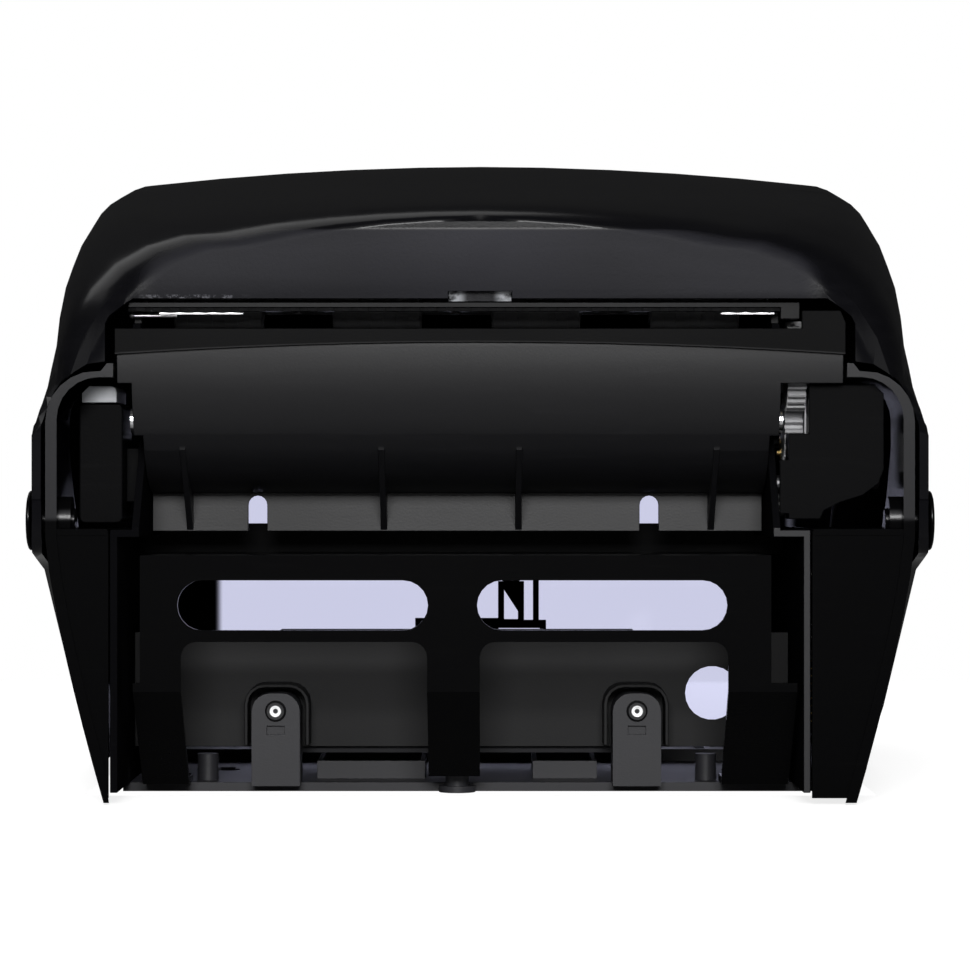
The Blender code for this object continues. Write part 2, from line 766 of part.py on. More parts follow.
def fuse(piece, *others):
    """Join solids to a piece."""
    return boolean(piece, "UNION", others)


def place(piece, finish, origin=None):
    """Put a finished piece in the assembly, with its origin on its joint's axis if it moves."""
    PARTS.objects.link(piece)
    piece.parent = ROOT
    if origin is not None:
        piece.data.transform(Matrix.Translation(-Vector(origin)))
        piece.location = origin
    piece.data.materials.clear()
    piece.data.materials.append(finish_material(finish))
    piece.data.shade_smooth()
    piece.data.set_sharp_from_angle(angle=math.radians(30))
    return piece


def skin(name, rows):
    """Closed solid between outlines of equal count at rising heights, capped at both ends."""
    mesh = bpy.data.meshes.new(name)
    shape = bmesh.new()
    rings = [[shape.verts.new(point) for point in row] for row in rows]
    count = len(rings[0])
    for below, above in zip(rings, rings[1:]):
        for i in range(count):
            after = (i + 1) % count
            shape.faces.new((below[i], below[after], above[after], above[i]))
    shape.faces.new(list(reversed(rings[0])))
    shape.faces.new(rings[-1])
    bmesh.ops.triangulate(shape, faces=shape.faces)
    bmesh.ops.recalc_face_normals(shape, faces=shape.faces)
    shape.to_mesh(mesh)
    shape.free()
    return bpy.data.objects.new(name, mesh)


# Cover

def cover_section(shares, wall):
    """Plan outline of the cover at one height, set in by a wall thickness."""
    height_share, depth_share, half_share, corner_half_share, corner_share, bow_share = shares
    front = COVER_DEPTH * depth_share - wall
    half = COVER_HALF_WIDTH * half_share - wall
    corner_half = COVER_HALF_WIDTH * corner_half_share - wall
    radius = COVER_CORNER * corner_share - wall
    bow = COVER_BOW * bow_share
    height = wall + height_share * (BODY_HEIGHT - 2 * wall)
    corner_x = corner_half - radius
    corner_y = -front + bow + radius
    side_start = -COVER_DEPTH * COVER_SIDE_START_SHARE
    rear = OVERRUN + wall
    right = []
    for i in range(COVER_FRONT_STEPS):
        x = corner_x * i / COVER_FRONT_STEPS
        right.append((x, -front + bow * (x / corner_x) ** 2))
    right += arc((corner_x, corner_y), radius, -90, 0, COVER_CORNER_STEPS)
    for i in range(1, COVER_SIDE_STEPS + 1):
        s = i / COVER_SIDE_STEPS
        x = corner_half + (half - corner_half) * (1 - (1 - s) ** 2)
        right.append((x, corner_y + (side_start - corner_y) * s))
    right.append((half, rear))
    left = [(-x, y) for x, y in reversed(right[1:])]
    return [(x, y, height) for x, y in left + right]


def cover_shell():
    """Smoke cover: front, sides, top and the underside back to the exit slot."""
    outer = skin("cover_shell", [cover_section(row, 0) for row in COVER_SECTION_SHARES])
    inner = skin("cover_hollow", [cover_section(row, COVER_WALL) for row in COVER_SECTION_SHARES])
    edge = [(-depth * COVER_DEPTH, height * BODY_HEIGHT) for depth, height in PARTING_SHARES]
    beyond = OVERRUN + COVER_WALL + OVERRUN
    edge += [(-COVER_WALL_CLEARANCE, BODY_HEIGHT + OVERRUN), (beyond, BODY_HEIGHT + OVERRUN)]
    edge += [(beyond, edge[0][1])]
    behind = prism("cover_rear_cut", SIDE, [edge], -COVER_HALF_WIDTH - OVERRUN, COVER_HALF_WIDTH + OVERRUN)
    below = prism("cover_bottom_cut", PLAN, [cover_opening()], -OVERRUN, OPENING_TOP)
    ears = cylinder("cover_ear_holes", SIDE, (-PIVOT_DEPTH, PIVOT_HEIGHT), PIN_RADIUS + AIR,
                    -COVER_HALF_WIDTH - OVERRUN, COVER_HALF_WIDTH + OVERRUN)
    lock_hole = cylinder("cover_lock_hole", PLAN, (LATCH_X, -LOCK_DEPTH), LOCK_RADIUS + AIR,
                         BODY_HEIGHT - COVER_WALL - OVERRUN, BODY_HEIGHT + OVERRUN)
    cut(outer, inner, behind, below, ears, lock_hole, *swing_room())
    return place(outer, "smoke_cover", (0, -PIVOT_DEPTH, PIVOT_HEIGHT))


def swing_room():
    """The housings' front corners, turned back through the cover's swing, to clear its inside."""
    pivot = Matrix.Translation((0, -PIVOT_DEPTH, PIVOT_HEIGHT))
    radius = RIM_CORNER + SWING_ROOM
    corner = (RIM_HALF_WIDTH - RIM_CORNER, -RIM_FRONT + RIM_CORNER)
    right = [(SWING_INSIDE, -SWING_REAR), (SWING_INSIDE, corner[1] - radius)]
    right += arc(corner, radius, -90, 0, RIM_STEPS) + [(corner[0] + radius, -SWING_REAR)]
    left = [(-x, y) for x, y in reversed(right)]
    cutters = []
    for degrees in SWING_ANGLES:
        turn = pivot @ Matrix.Rotation(math.radians(-degrees), 4, "X") @ pivot.inverted()
        for outline in (right, left):
            cutter = prism("swing_room_cut", PLAN, [outline], *SWING_HEIGHTS)
            cutter.data.transform(turn)
            cutters.append(cutter)
    return cutters


def cover_opening():
    """Plan outline of the opening in the cover's underside, with a notch for the sensor."""
    sweep_x = OPENING_HALF_WIDTH - OPENING_SLOT_HALF
    sweep_y = OPENING_SWEEP_FRONT - OPENING_SIDE_FRONT
    step_y = UNDERSIDE_REAR - OPENING_SWEEP_FRONT
    right = [(OPENING_HALF_WIDTH, OVERRUN + COVER_WALL + OVERRUN)]
    for across, forward in OPENING_SWEEP_SHARES:
        right.append((OPENING_HALF_WIDTH - across * sweep_x, -OPENING_SIDE_FRONT - forward * sweep_y))
    for across, forward in SLOT_CORNER_SHARES:
        right.append((OPENING_SLOT_HALF * (1 - across), -OPENING_SWEEP_FRONT - forward * step_y))
    notch = SENSOR_NOTCH_WIDTH / 2
    right += [(notch, -UNDERSIDE_REAR), (notch, -UNDERSIDE_REAR - SENSOR_NOTCH_DEPTH)]
    return right + [(-x, y) for x, y in reversed(right)]


def hinge_pin(name, side):
    """Headed pin that one of the cover's ears turns on."""
    outer = COVER_HALF_WIDTH + AIR
    head = outer + PIN_HEAD_HEIGHT
    step = head - PIN_HEAD_HEIGHT / 3
    profile = [
        (PIN_END_HALF_WIDTH, 0), (PIN_END_HALF_WIDTH, PIN_RADIUS), (outer, PIN_RADIUS),
        (outer, PIN_HEAD_RADIUS), (step, PIN_HEAD_RADIUS), (head, PIN_HEAD_RADIUS * 0.86),
        (head, PIN_HEAD_RADIUS * 0.40), (step, PIN_HEAD_RADIUS * 0.34), (step, 0),
    ]
    pin = turned(name, SIDE, (-PIVOT_DEPTH, PIVOT_HEIGHT), [(side * x, radius) for x, radius in profile])
    return place(pin, "gloss_black")


# Side housings

def taper_half_width(depth):
    """Half width of the housings behind the cover's ears, narrowing towards the wall."""
    share = min(1.0, depth / TAPER_START)
    return FOOT_HALF_WIDTH + (RIM_HALF_WIDTH - FOOT_HALF_WIDTH) * (1 - (1 - share) ** TAPER_POWER)


def housing_inner(side, outer):
    """Half width of a housing's inner face; the wall thins where it would meet the partition."""
    return max(outer - RIM_WALL, abs(pod_inner(side)))


def housing_ring(side, height, flare):
    """Closed plan outline of a housing's wall at one height; flare 1 keeps its full width to the rear."""
    corner = (RIM_HALF_WIDTH - RIM_CORNER, -RIM_FRONT + RIM_CORNER)
    inner_radius = RIM_CORNER - (RIM_WALL + RIM_FRONT_WALL) / 2
    inner_corner = (RIM_HALF_WIDTH - RIM_WALL - inner_radius, -RIM_FRONT + RIM_FRONT_WALL + inner_radius)
    sides = []
    for i in range(TAPER_STEPS + 1):
        depth = TAPER_START * (1 - i / TAPER_STEPS)
        flared = RIM_HALF_WIDTH + (FLARE_HALF_WIDTH - RIM_HALF_WIDTH) * (1 - depth / TAPER_START)
        tapered = taper_half_width(depth)
        sides.append((tapered + (flared - tapered) * flare, -depth))
    ring = [
        (JOGGLE_HALF_WIDTH, -JOGGLE_FRONT), (JOGGLE_HALF_WIDTH + JOGGLE_WALL, -JOGGLE_FRONT),
        (JOGGLE_HALF_WIDTH + JOGGLE_WALL + RIM_FRONT_WALL, -RIM_FRONT),
    ]
    ring += arc(corner, RIM_CORNER, -90, 0, RIM_STEPS)[1:] + sides
    ring += [(housing_inner(side, x), y) for x, y in reversed(sides)]
    ring += arc(inner_corner, inner_radius, 0, -90, RIM_STEPS)
    ring.append((JOGGLE_HALF_WIDTH, -RIM_FRONT + RIM_FRONT_WALL))
    return [(side * x, y, height) for x, y in ring]


def side_housing(name, side):
    """One side housing: rim, tapered outer wall, closed pod floor, pod front and pivot boss."""
    wall = skin(name, [
        housing_ring(side, 0, 0), housing_ring(side, FLARE_HEIGHT, 1), housing_ring(side, HOUSING_HEIGHT, 1),
    ])

    inner = pod_inner(side)
    depths = [POD_FRONT * i / TAPER_STEPS for i in range(TAPER_STEPS + 1)]
    outers = [taper_half_width(depth) for depth in depths]
    middles = [side * (outer + housing_inner(side, outer)) / 2 for outer in outers]
    outline = [(x, -depth) for x, depth in zip(middles, depths)]
    outline[0] = (middles[0], -PLATE_WALL / 2)
    edge = inner + side * AIR
    outline = [(edge, -PLATE_WALL / 2)] + outline + [(edge, -POD_FRONT + BITE)]
    pod_floor = prism(name + "_floor", PLAN, [outline], BITE, POD_FLOOR)
    front_xs = sorted((inner + side * BITE, side * (RIM_HALF_WIDTH - RIM_WALL / 2)))
    pod_front = box(name + "_front", front_xs, (-POD_FRONT, -POD_FRONT + POD_FRONT_WALL),
                    (BITE / 2, POD_FRONT_HEIGHT))
    inner_face = RIM_HALF_WIDTH - RIM_WALL
    boss_span = sorted((side * (inner_face - PIVOT_BOSS_LENGTH), side * (inner_face + BITE)))
    boss = cylinder(name + "_boss", SIDE, (-PIVOT_DEPTH, PIVOT_HEIGHT), PIVOT_BOSS_RADIUS, *boss_span)
    fuse(wall, pod_floor, pod_front, boss)

    top = [(-depth * COVER_DEPTH, height * BODY_HEIGHT) for depth, height in HOUSING_TOP_SHARES]
    top = [(top[0][0] - OVERRUN, top[0][1])] + top
    top += [(OVERRUN, top[-1][1]), (OVERRUN, HOUSING_HEIGHT + OVERRUN), (top[0][0], HOUSING_HEIGHT + OVERRUN)]
    reach = sorted((side * (JOGGLE_HALF_WIDTH - OVERRUN - RIM_WALL), side * (RIM_HALF_WIDTH + OVERRUN)))
    above = prism(name + "_top_cut", SIDE, [top], *reach)
    bore = cylinder(name + "_bore", SIDE, (-PIVOT_DEPTH, PIVOT_HEIGHT), PIN_RADIUS + AIR,
                    *sorted((side * (PIN_END_HALF_WIDTH - OVERRUN), side * (RIM_HALF_WIDTH + OVERRUN))))
    plate_seat = box(name + "_plate_seat", sorted((0, side * (RIM_HALF_WIDTH + OVERRUN))),
                     (-PLATE_WALL - AIR, OVERRUN), (PLATE_BOTTOM - AIR, HOUSING_HEIGHT + OVERRUN))
    cut(wall, above, bore, plate_seat)
    return place(wall, "gloss_black")


def pod_inner(side):
    """Inner limit of a pod, just outside the stepped partition."""
    if side < 0:
        return LEFT_OUTER - STEP_LEFT - AIR
    return RIGHT_OUTER + STEP_RIGHT + AIR


# Partitions

def partition(name, side):
    """Compartment wall, stepping outwards behind the ledge, with a chamfered front foot."""
    face = LEFT_OUTER if side < 0 else BAY_RIGHT
    middle = face + PARTITION_WALL / 2
    step = STEP_LEFT if side < 0 else STEP_RIGHT
    path = [
        (middle, -PARTITION_FRONT), (middle, -STEP_DEPTH),
        (middle + side * step, -STEP_DEPTH), (middle + side * step, -PLATE_WALL - AIR),
    ]
    wall = sheet(name, PLAN, path, 0, PARTITION_REAR_TOP, PARTITION_WALL)
    front = -PARTITION_FRONT - OVERRUN
    chamfer_rear = -PARTITION_FRONT + CHAMFER_DEPTH
    foot = [
        (front, -OVERRUN), (chamfer_rear, -OVERRUN), (chamfer_rear, 0),
        (-PARTITION_FRONT, CHAMFER_HEIGHT), (front, CHAMFER_HEIGHT),
    ]
    above = [
        (front, PARTITION_FRONT_TOP), (-STEP_DEPTH, PARTITION_FRONT_TOP),
        (-PARTITION_SLOPE_DEPTH, PARTITION_REAR_TOP), (-PARTITION_SLOPE_DEPTH, PARTITION_REAR_TOP + OVERRUN),
        (front, PARTITION_REAR_TOP + OVERRUN),
    ]
    reach = sorted((face - step - OVERRUN, face + PARTITION_WALL + step + OVERRUN))
    if side > 0:
        fuse(wall, arm_lugs())
    cut(wall, prism(name + "_profile_cut", SIDE, [foot, above], *reach))
    if side > 0:
        cut(wall, cylinder(name + "_pin_bore", FRONT, (ARM_PIVOT_X, ARM_PIVOT_HEIGHT),
                           ARM_PIN_RADIUS + AIR, -LUG_FRONT - OVERRUN, -LUG_REAR + OVERRUN, 16))
    else:
        for height, radius in ((ARM_SCREW_HEIGHT, SCREW_RADIUS), (ARM_STUD_HEIGHT, ARM_STUD_RADIUS)):
            cut(wall, cylinder(name + "_bore", SIDE, (-ARM_SCREW_DEPTH, height), radius + AIR, *reach, 12))
    return place(wall, "matte_black")


def arm_lugs():
    """Two lugs beside the right partition that hold the sprung arm's pin."""
    lugs = []
    xs = (RIGHT_OUTER - BITE, ARM_PIVOT_X + LUG_HALF_HEIGHT)
    zs = (ARM_PIVOT_HEIGHT - LUG_HALF_HEIGHT, ARM_PIVOT_HEIGHT + LUG_HALF_HEIGHT)
    for start in (-LUG_FRONT, -LUG_REAR - LUG_WALL):
        lugs.append(box("arm_lug", xs, (start, start + LUG_WALL), zs))
    return combined("arm_lugs", *lugs)


# Belly panel

def belly_point(radius, degrees):
    """Point of the belly's quarter round, in side view, from the lip at 0 to the ledge at 90."""
    return polar((-BELLY_DEPTH, BELLY_AXIS_HEIGHT), radius, degrees - 90)


def belly_panel():
    """Front lip, quarter-round underside and rear ledge with gussets and two open slots."""
    path = [belly_point(BELLY_RADIUS, 90 * i / BELLY_STEPS) for i in range(BELLY_STEPS + 1)]
    path = [(-LIP_BACK - LIP_BOW, BELLY_RISE)] + path
    path += [(-LEDGE_REAR, BELLY_AXIS_HEIGHT)]
    reach = LIP_HALF_WIDTH - BITE
    panel = sheet("belly_panel", SIDE, path, -reach, reach, BELLY_WALL, 1.0)

    steps = 12
    arch = []
    for i in range(steps + 1):
        x = LIP_HALF_WIDTH - 2 * LIP_HALF_WIDTH * i / steps
        arch.append((x, -LIP_BACK + LIP_BOW * (x / LIP_HALF_WIDTH) ** 2))
    lip = [
        (-LIP_HALF_WIDTH, -LIP_FRONT), (LIP_RIGHT, -LIP_FRONT), (LIP_RIGHT, -LIP_RIGHT_FRONT),
        (LIP_RIGHT_REACH, -LIP_RIGHT_FRONT), (LIP_HALF_WIDTH, -LIP_FRONT - LIP_BOW / 2),
    ]
    fuse(panel, prism("belly_lip", PLAN, [lip + arch], 0, LIP_HEIGHT))

    gusset = [
        belly_point(BELLY_RADIUS - BELLY_WALL / 2, 40), belly_point(BELLY_RADIUS + BITE, 44),
        (-LEDGE_REAR - BITE, BELLY_AXIS_HEIGHT - BITE), (-LEDGE_REAR - BITE, BELLY_AXIS_HEIGHT + BELLY_WALL / 2),
        (-BELLY_DEPTH + BELLY_RADIUS - BELLY_WALL / 2, BELLY_AXIS_HEIGHT + BELLY_WALL / 2),
    ]
    gusset += [belly_point(BELLY_RADIUS - BELLY_WALL / 2, angle) for angle in (80, 70, 60, 50)]
    ribs = []
    for share in GUSSET_SHARES:
        x = BAY_LEFT + share * BAY_WIDTH
        ribs.append(prism("belly_gusset", SIDE, [gusset], x - GUSSET_WALL / 2, x + GUSSET_WALL / 2))
    fuse(panel, combined("belly_gussets", *ribs))

    top = BELLY_AXIS_HEIGHT + BELLY_WALL + OVERRUN
    narrow = (-BELLY_WIDE_REAR, -LEDGE_REAR + OVERRUN)
    sides = [
        box("trim", (-LIP_HALF_WIDTH - OVERRUN, LEFT_OUTER - AIR), narrow, (-OVERRUN, top)),
        box("trim", (RIGHT_OUTER + AIR, LIP_HALF_WIDTH + OVERRUN), narrow, (-OVERRUN, top)),
    ]
    cut(panel, combined("belly_side_trims", *sides))
    inside = (-PARTITION_FRONT - AIR, -LEDGE_REAR + OVERRUN)
    sides = [
        box("trim", (LEFT_OUTER - OVERRUN, BAY_LEFT + AIR), inside, (-OVERRUN, top)),
        box("trim", (BAY_RIGHT - AIR, RIGHT_OUTER + OVERRUN), inside, (-OVERRUN, top)),
    ]
    cut(panel, combined("belly_bay_trims", *sides))
    slots = []
    radius = LEDGE_SLOT_WIDTH / 2
    for share in LEDGE_SLOT_SHARES:
        x = BAY_LEFT + share * BAY_WIDTH
        front = -LEDGE_REAR - LEDGE_SLOT_DEPTH
        outline = arc((x, front + radius), radius, 180, 360, 8)
        outline += [(x + radius, -LEDGE_REAR + OVERRUN), (x - radius, -LEDGE_REAR + OVERRUN)]
        slots.append(prism("slot", PLAN, [outline], BELLY_AXIS_HEIGHT - OVERRUN, top))
    cut(panel, combined("belly_ledge_slots", *slots))
    return place(panel, "matte_black")


# Slotted tray

def slotted_tray():
    """Bottom tray: plate with two long slots, front upstand and three legs hooked on the back plate."""
    front, bend = -TRAY_FRONT, -TRAY_BEND
    window = -TRAY_WINDOW_FRONT
    outline = [(TRAY_LEFT, front), (TRAY_RIGHT, front), (TRAY_RIGHT, bend)]
    for left, right in reversed(TRAY_WINDOWS):
        radius = TRAY_WINDOW_CORNER
        outline += [(right, bend)]
        outline += arc((right - radius, window + radius), radius, 0, -90, ARC_STEPS)
        outline += arc((left + radius, window + radius), radius, -90, -180, ARC_STEPS)
        outline += [(left, bend)]
    outline += [(TRAY_LEFT, bend)]
    outline = [point for i, point in enumerate(outline) if point != outline[i - 1]]
    slot_span = (-TRAY_SLOT_FRONT, -TRAY_SLOT_FRONT + TRAY_SLOT_WIDTH)
    slots = [stadium(slot, slot_span) for slot in TRAY_SLOTS]
    tray = prism("slotted_tray", PLAN, [outline] + slots, 0, TRAY_WALL)
    upstand = box("tray_upstand", (TRAY_LEFT, TRAY_RIGHT), (front, front + TRAY_WALL),
                  (TRAY_WALL / 2, TRAY_UPSTAND))
    flange = box("tray_flange", (TRAY_LEFT + BITE, TRAY_RIGHT - BITE), (-TRAY_FLANGE_FRONT, front + TRAY_WALL / 2),
                 (TRAY_UPSTAND - TRAY_WALL, TRAY_UPSTAND - BITE / 2))
    ears = box("tray_flange_ears", (TRAY_LEFT - TRAY_FLANGE_EARS[0], TRAY_RIGHT + TRAY_FLANGE_EARS[1]),
               (-TRAY_FLANGE_EAR_FRONT, front + TRAY_WALL / 3), (TRAY_UPSTAND - TRAY_WALL + BITE / 4, TRAY_UPSTAND - BITE))
    hook_depth = -PLATE_WALL - AIR - TRAY_WALL / 2
    legs = []
    for index, (left, right) in enumerate(LEGS):
        path = [(bend - TRAY_WALL, TRAY_WALL / 2), (bend, TRAY_WALL / 2), (-LEG_REAR, LEG_RISE)]
        if index != 1:
            path += [(hook_depth, LEG_RISE + TRAY_WALL), (hook_depth, LEG_HOOK)]
        legs.append(sheet("tray_leg", SIDE, path, left, right, TRAY_WALL))
    fuse(tray, upstand, flange, ears, *legs)
    return place(tray, "gloss_black")


# Back plate with its screw tabs

def back_plate():
    """Wall plate: keyholes, rib grid, rails, stand-offs and the two tabs that the floor screws to."""
    wide, narrow = PLATE_HALF_WIDTH, PLATE_FOOT_HALF_WIDTH
    outline = rounded([
        (-narrow, PLATE_BOTTOM, 0), (narrow, PLATE_BOTTOM, 0), (wide, PLATE_FLARE_TOP, 0),
        (wide, PLATE_TOP, PLATE_CORNER), (-wide, PLATE_TOP, PLATE_CORNER), (-wide, PLATE_FLARE_TOP, 0),
    ])
    plate = prism("back_plate", FRONT, [outline] + keyholes(), -PLATE_WALL, 0)
    rib_ys = (-PLATE_WALL - RIB_DEPTH, -PLATE_WALL + BITE)
    height = PLATE_TOP - PLATE_BOTTOM
    for share in RIB_HEIGHT_SHARES:
        z = PLATE_BOTTOM + share * height
        left, right = -wide + RIB_MARGIN, wide - RIB_MARGIN
        if z < PARTITION_REAR_TOP + OVERRUN:
            left = LEFT_OUTER - STEP_LEFT + PARTITION_WALL + 2 * AIR
            right = RIGHT_OUTER + STEP_RIGHT - PARTITION_WALL - 2 * AIR
        fuse(plate, box("plate_rib", (left, right), rib_ys, (z - RIB_WALL / 2, z + RIB_WALL / 2)))
    for share in RIB_WIDTH_SHARES:
        x = share * wide
        zs = (PLATE_BOTTOM + RIB_HEIGHT_SHARES[0] * height, PLATE_TOP - RIB_DEPTH)
        fuse(plate, box("plate_rib", (x - RIB_WALL / 2, x + RIB_WALL / 2), rib_ys, zs))
    for left, right in RAILS:
        outer = rectangle((left, right), RAIL_HEIGHTS)
        inner = rectangle((left + RAIL_WALL, right - RAIL_WALL),
                          (RAIL_HEIGHTS[0] + RAIL_WALL, RAIL_HEIGHTS[1] - RAIL_WALL))
        fuse(plate, prism("plate_rail", FRONT, [outer, inner], -PLATE_WALL - RAIL_DEPTH, -PLATE_WALL + BITE))
    for x in STANDOFFS:
        fuse(plate, cylinder("plate_standoff", FRONT, (x, STANDOFF_HEIGHT), STANDOFF_RADIUS,
                             -STANDOFF_LENGTH, -PLATE_WALL + BITE, 16))
    peg = (FOOT_PEG_X, FOOT_PEG_HEIGHT)
    fuse(plate, cylinder("plate_peg", FRONT, peg, FOOT_PEG_RADIUS, -FOOT_PEG_LENGTH, -BITE, 16))
    fuse(plate, cylinder("plate_peg_flange", FRONT, peg, FOOT_PEG_FLANGE, -FOOT_PEG_FLANGE_WALL, 0, 16))
    for x in TAB_X:
        half = TAB_WIDTH / 2
        tab = rounded([
            (x - half, -TAB_FRONT, TAB_CORNER), (x + half, -TAB_FRONT, TAB_CORNER),
            (x + half, -PLATE_WALL + BITE, 0), (x - half, -PLATE_WALL + BITE, 0),
        ])
        hole = circle((x, -TAB_SCREW_DEPTH), SCREW_RADIUS + AIR, 12)
        fuse(plate, prism("plate_tab", PLAN, [tab, hole], TAB_BOTTOM, FLOOR_HEIGHT - AIR))
        pocket = box("tab_pocket", (x - TAB_POCKET[0] / 2, x + TAB_POCKET[0] / 2),
                     (-TAB_POCKET_DEPTH - TAB_POCKET[1] / 2, -TAB_POCKET_DEPTH + TAB_POCKET[1] / 2),
                     (TAB_BOTTOM - OVERRUN, TAB_BOTTOM + TAB_POCKET_CUT))
        cut(plate, pocket)
    return place(plate, "matte_black")


def keyholes():
    """Four keyholes for wall screws: a round entry with a narrow slot above it."""
    holes = []
    for x in (-FIXING_SPACING_X / 2, FIXING_SPACING_X / 2):
        for z in (FIXING_HEIGHT - FIXING_SPACING_Z / 2, FIXING_HEIGHT + FIXING_SPACING_Z / 2):
            half = KEYHOLE_SLOT / 2
            rise = math.degrees(math.acos(half / KEYHOLE_RADIUS))
            outline = arc((x, z), KEYHOLE_RADIUS, 180 - rise, 360 + rise, 12)
            outline += arc((x, z + KEYHOLE_LENGTH - half), half, 0, 180, 5)
            holes.append(outline)
    return holes


def floor_panel():
    """Matte floor over the tray's windows, with a cable hole and a skirt round each screw tab."""
    left = LEFT_OUTER - STEP_LEFT + PARTITION_WALL + AIR
    right = RIGHT_OUTER + STEP_RIGHT - PARTITION_WALL - AIR
    outline = rectangle((left, right), (-FLOOR_FRONT, -FLOOR_REAR))
    holes = [circle((CABLE_HOLE_X, -CABLE_HOLE_DEPTH), CABLE_HOLE_RADIUS)]
    holes += [circle((x, -TAB_SCREW_DEPTH), SCREW_RADIUS + AIR, 12) for x in TAB_X]
    panel = prism("floor_panel", PLAN, [outline] + holes, FLOOR_HEIGHT, FLOOR_HEIGHT + FLOOR_WALL)
    for x in TAB_X:
        half = TAB_WIDTH / 2 + SKIRT_GAP + SKIRT_WALL / 2
        front = -TAB_FRONT - SKIRT_GAP - SKIRT_WALL / 2
        radius = TAB_CORNER
        path = [(x - half, -FLOOR_REAR - SKIRT_WALL)]
        path += arc((x - half + radius, front + radius), radius, 180, 270, 4)
        path += arc((x + half - radius, front + radius), radius, 270, 360, 4)
        path += [(x + half, -FLOOR_REAR - SKIRT_WALL)]
        fuse(panel, sheet("floor_skirt", PLAN, path, FLOOR_HEIGHT - SKIRT_DROP, FLOOR_HEIGHT + BITE, SKIRT_WALL))
    return place(panel, "matte_black")


def pan_screw(name, axis, centre, face, tip, direction):
    """Socket-headed screw: head outside face, shank to tip, direction +1 or -1 along the axis."""
    head = face - direction * SCREW_HEAD_HEIGHT
    socket = head + direction * SCREW_SOCKET_DEPTH
    return turned(name, axis, centre, [
        (tip, 0), (tip, SCREW_RADIUS), (face, SCREW_RADIUS), (face, SCREW_HEAD_RADIUS),
        (head, SCREW_HEAD_RADIUS * 0.8), (head, SCREW_SOCKET_RADIUS), (socket, SCREW_SOCKET_RADIUS),
        (socket, 0),
    ], sides=18)


def floor_screw(name, x):
    """Screw that comes up through a tab into the floor panel."""
    tip = FLOOR_HEIGHT + FLOOR_WALL - AIR
    return place(pan_screw(name, PLAN, (x, -TAB_SCREW_DEPTH), TAB_BOTTOM - AIR, tip, 1), "steel")


# Feed frames and rollers

def feed_frame(name, side):
    """Side frame of the feed rollers, in line with a partition, standing on the belly panel."""
    low = LEFT_OUTER if side < 0 else BAY_RIGHT
    high = low + FRAME_WALL
    rear = -PARTITION_FRONT - AIR
    radius = BELLY_RADIUS - BELLY_WALL - AIR
    start = math.degrees(math.asin((LIP_FRONT - BELLY_DEPTH) / radius))
    end = math.degrees(math.asin((BELLY_DEPTH + rear) / radius))
    foot = [belly_point(radius, -start + (end + start) * i / 8) for i in range(9)]
    foot_height = LIP_HEIGHT + AIR + BELLY_WALL
    outline = [(-FRAME_NOSE, foot_height)] + foot
    outline += [(rear, FRAME_TOP), (-TRANSFER_DEPTH + BUSH_RADIUS, FRAME_TOP)]
    outline += [(-TRANSFER_DEPTH - BUSH_RADIUS, FRAME_TOP), (-FRAME_FRONT, FRAME_FRONT_TOP)]
    outline += [(-FRAME_FRONT, FRAME_NOSE_HEIGHT), (-FRAME_NOSE, FRAME_NOSE_HEIGHT)]
    drive = circle((-DRIVE_DEPTH, DRIVE_HEIGHT), BUSH_RADIUS + AIR, 20)
    slot_half = PINCH_SHAFT_RADIUS + RUN_CLEARANCE
    pinch = stadium((-PINCH_DEPTH - PINCH_TRAVEL - slot_half, -PINCH_DEPTH + slot_half),
                    (DRIVE_HEIGHT - slot_half, DRIVE_HEIGHT + slot_half))
    transfer = circle((-TRANSFER_DEPTH, TRANSFER_HEIGHT), TRANSFER_PIN_RADIUS + AIR, 12)
    tie = circle((-TIE_DEPTH, TIE_HEIGHT), TIE_RADIUS + AIR, 12)
    frame = prism(name, SIDE, [outline, drive, pinch, transfer, tie], low, high)
    outer = low if side < 0 else high
    seat_xs = sorted((outer - side * FRAME_WALL * 0.8, outer + side * (CARRIER_WALL + AIR)))
    fuse(frame, box(name + "_spring_seat", seat_xs, (-FRAME_FRONT - SPRING_SEAT_WALL, -FRAME_FRONT + BITE),
                    (DRIVE_HEIGHT - SPRING_RADIUS * 2, DRIVE_HEIGHT + CARRIER_HALF_HEIGHT)))
    return place(frame, "matte_black")


def drive_shaft():
    """Steel shaft of the drive roller, long enough to carry its gear."""
    shaft = cylinder("drive_shaft", SIDE, (-DRIVE_DEPTH, DRIVE_HEIGHT), DRIVE_SHAFT_RADIUS,
                     LEFT_OUTER - CARRIER_WALL, GEAR_RIGHT)
    return place(shaft, "steel", (0, -DRIVE_DEPTH, DRIVE_HEIGHT))


def ringed_sleeve(name, centre, core, outer, length, bore):
    """Roller sleeve: a thin core with four raised tyres, their edges softened."""
    edge = outer / 12
    left, right = BAY_LEFT + DRIVE_END_GAP, BAY_RIGHT - DRIVE_END_GAP
    profile = [(left, bore), (left, core)]
    for share in TYRE_SHARES:
        middle = BAY_LEFT + share * BAY_WIDTH
        low, high = middle - length / 2, middle + length / 2
        profile += [(low, core), (low + edge, outer), (high - edge, outer), (high, core)]
    profile += [(right, core), (right, bore)]
    return turned(name, SIDE, centre, profile, closed=True)


def drive_sleeve():
    """Rubber sleeve whose four tyres pull the towel."""
    centre = (-DRIVE_DEPTH, DRIVE_HEIGHT)
    tyres = ringed_sleeve("drive_sleeve", centre, DRIVE_CORE_RADIUS, DRIVE_SLEEVE_RADIUS,
                          DRIVE_TYRE_LENGTH, DRIVE_SHAFT_RADIUS + AIR)
    return place(tyres, "rubber", (0, *centre))


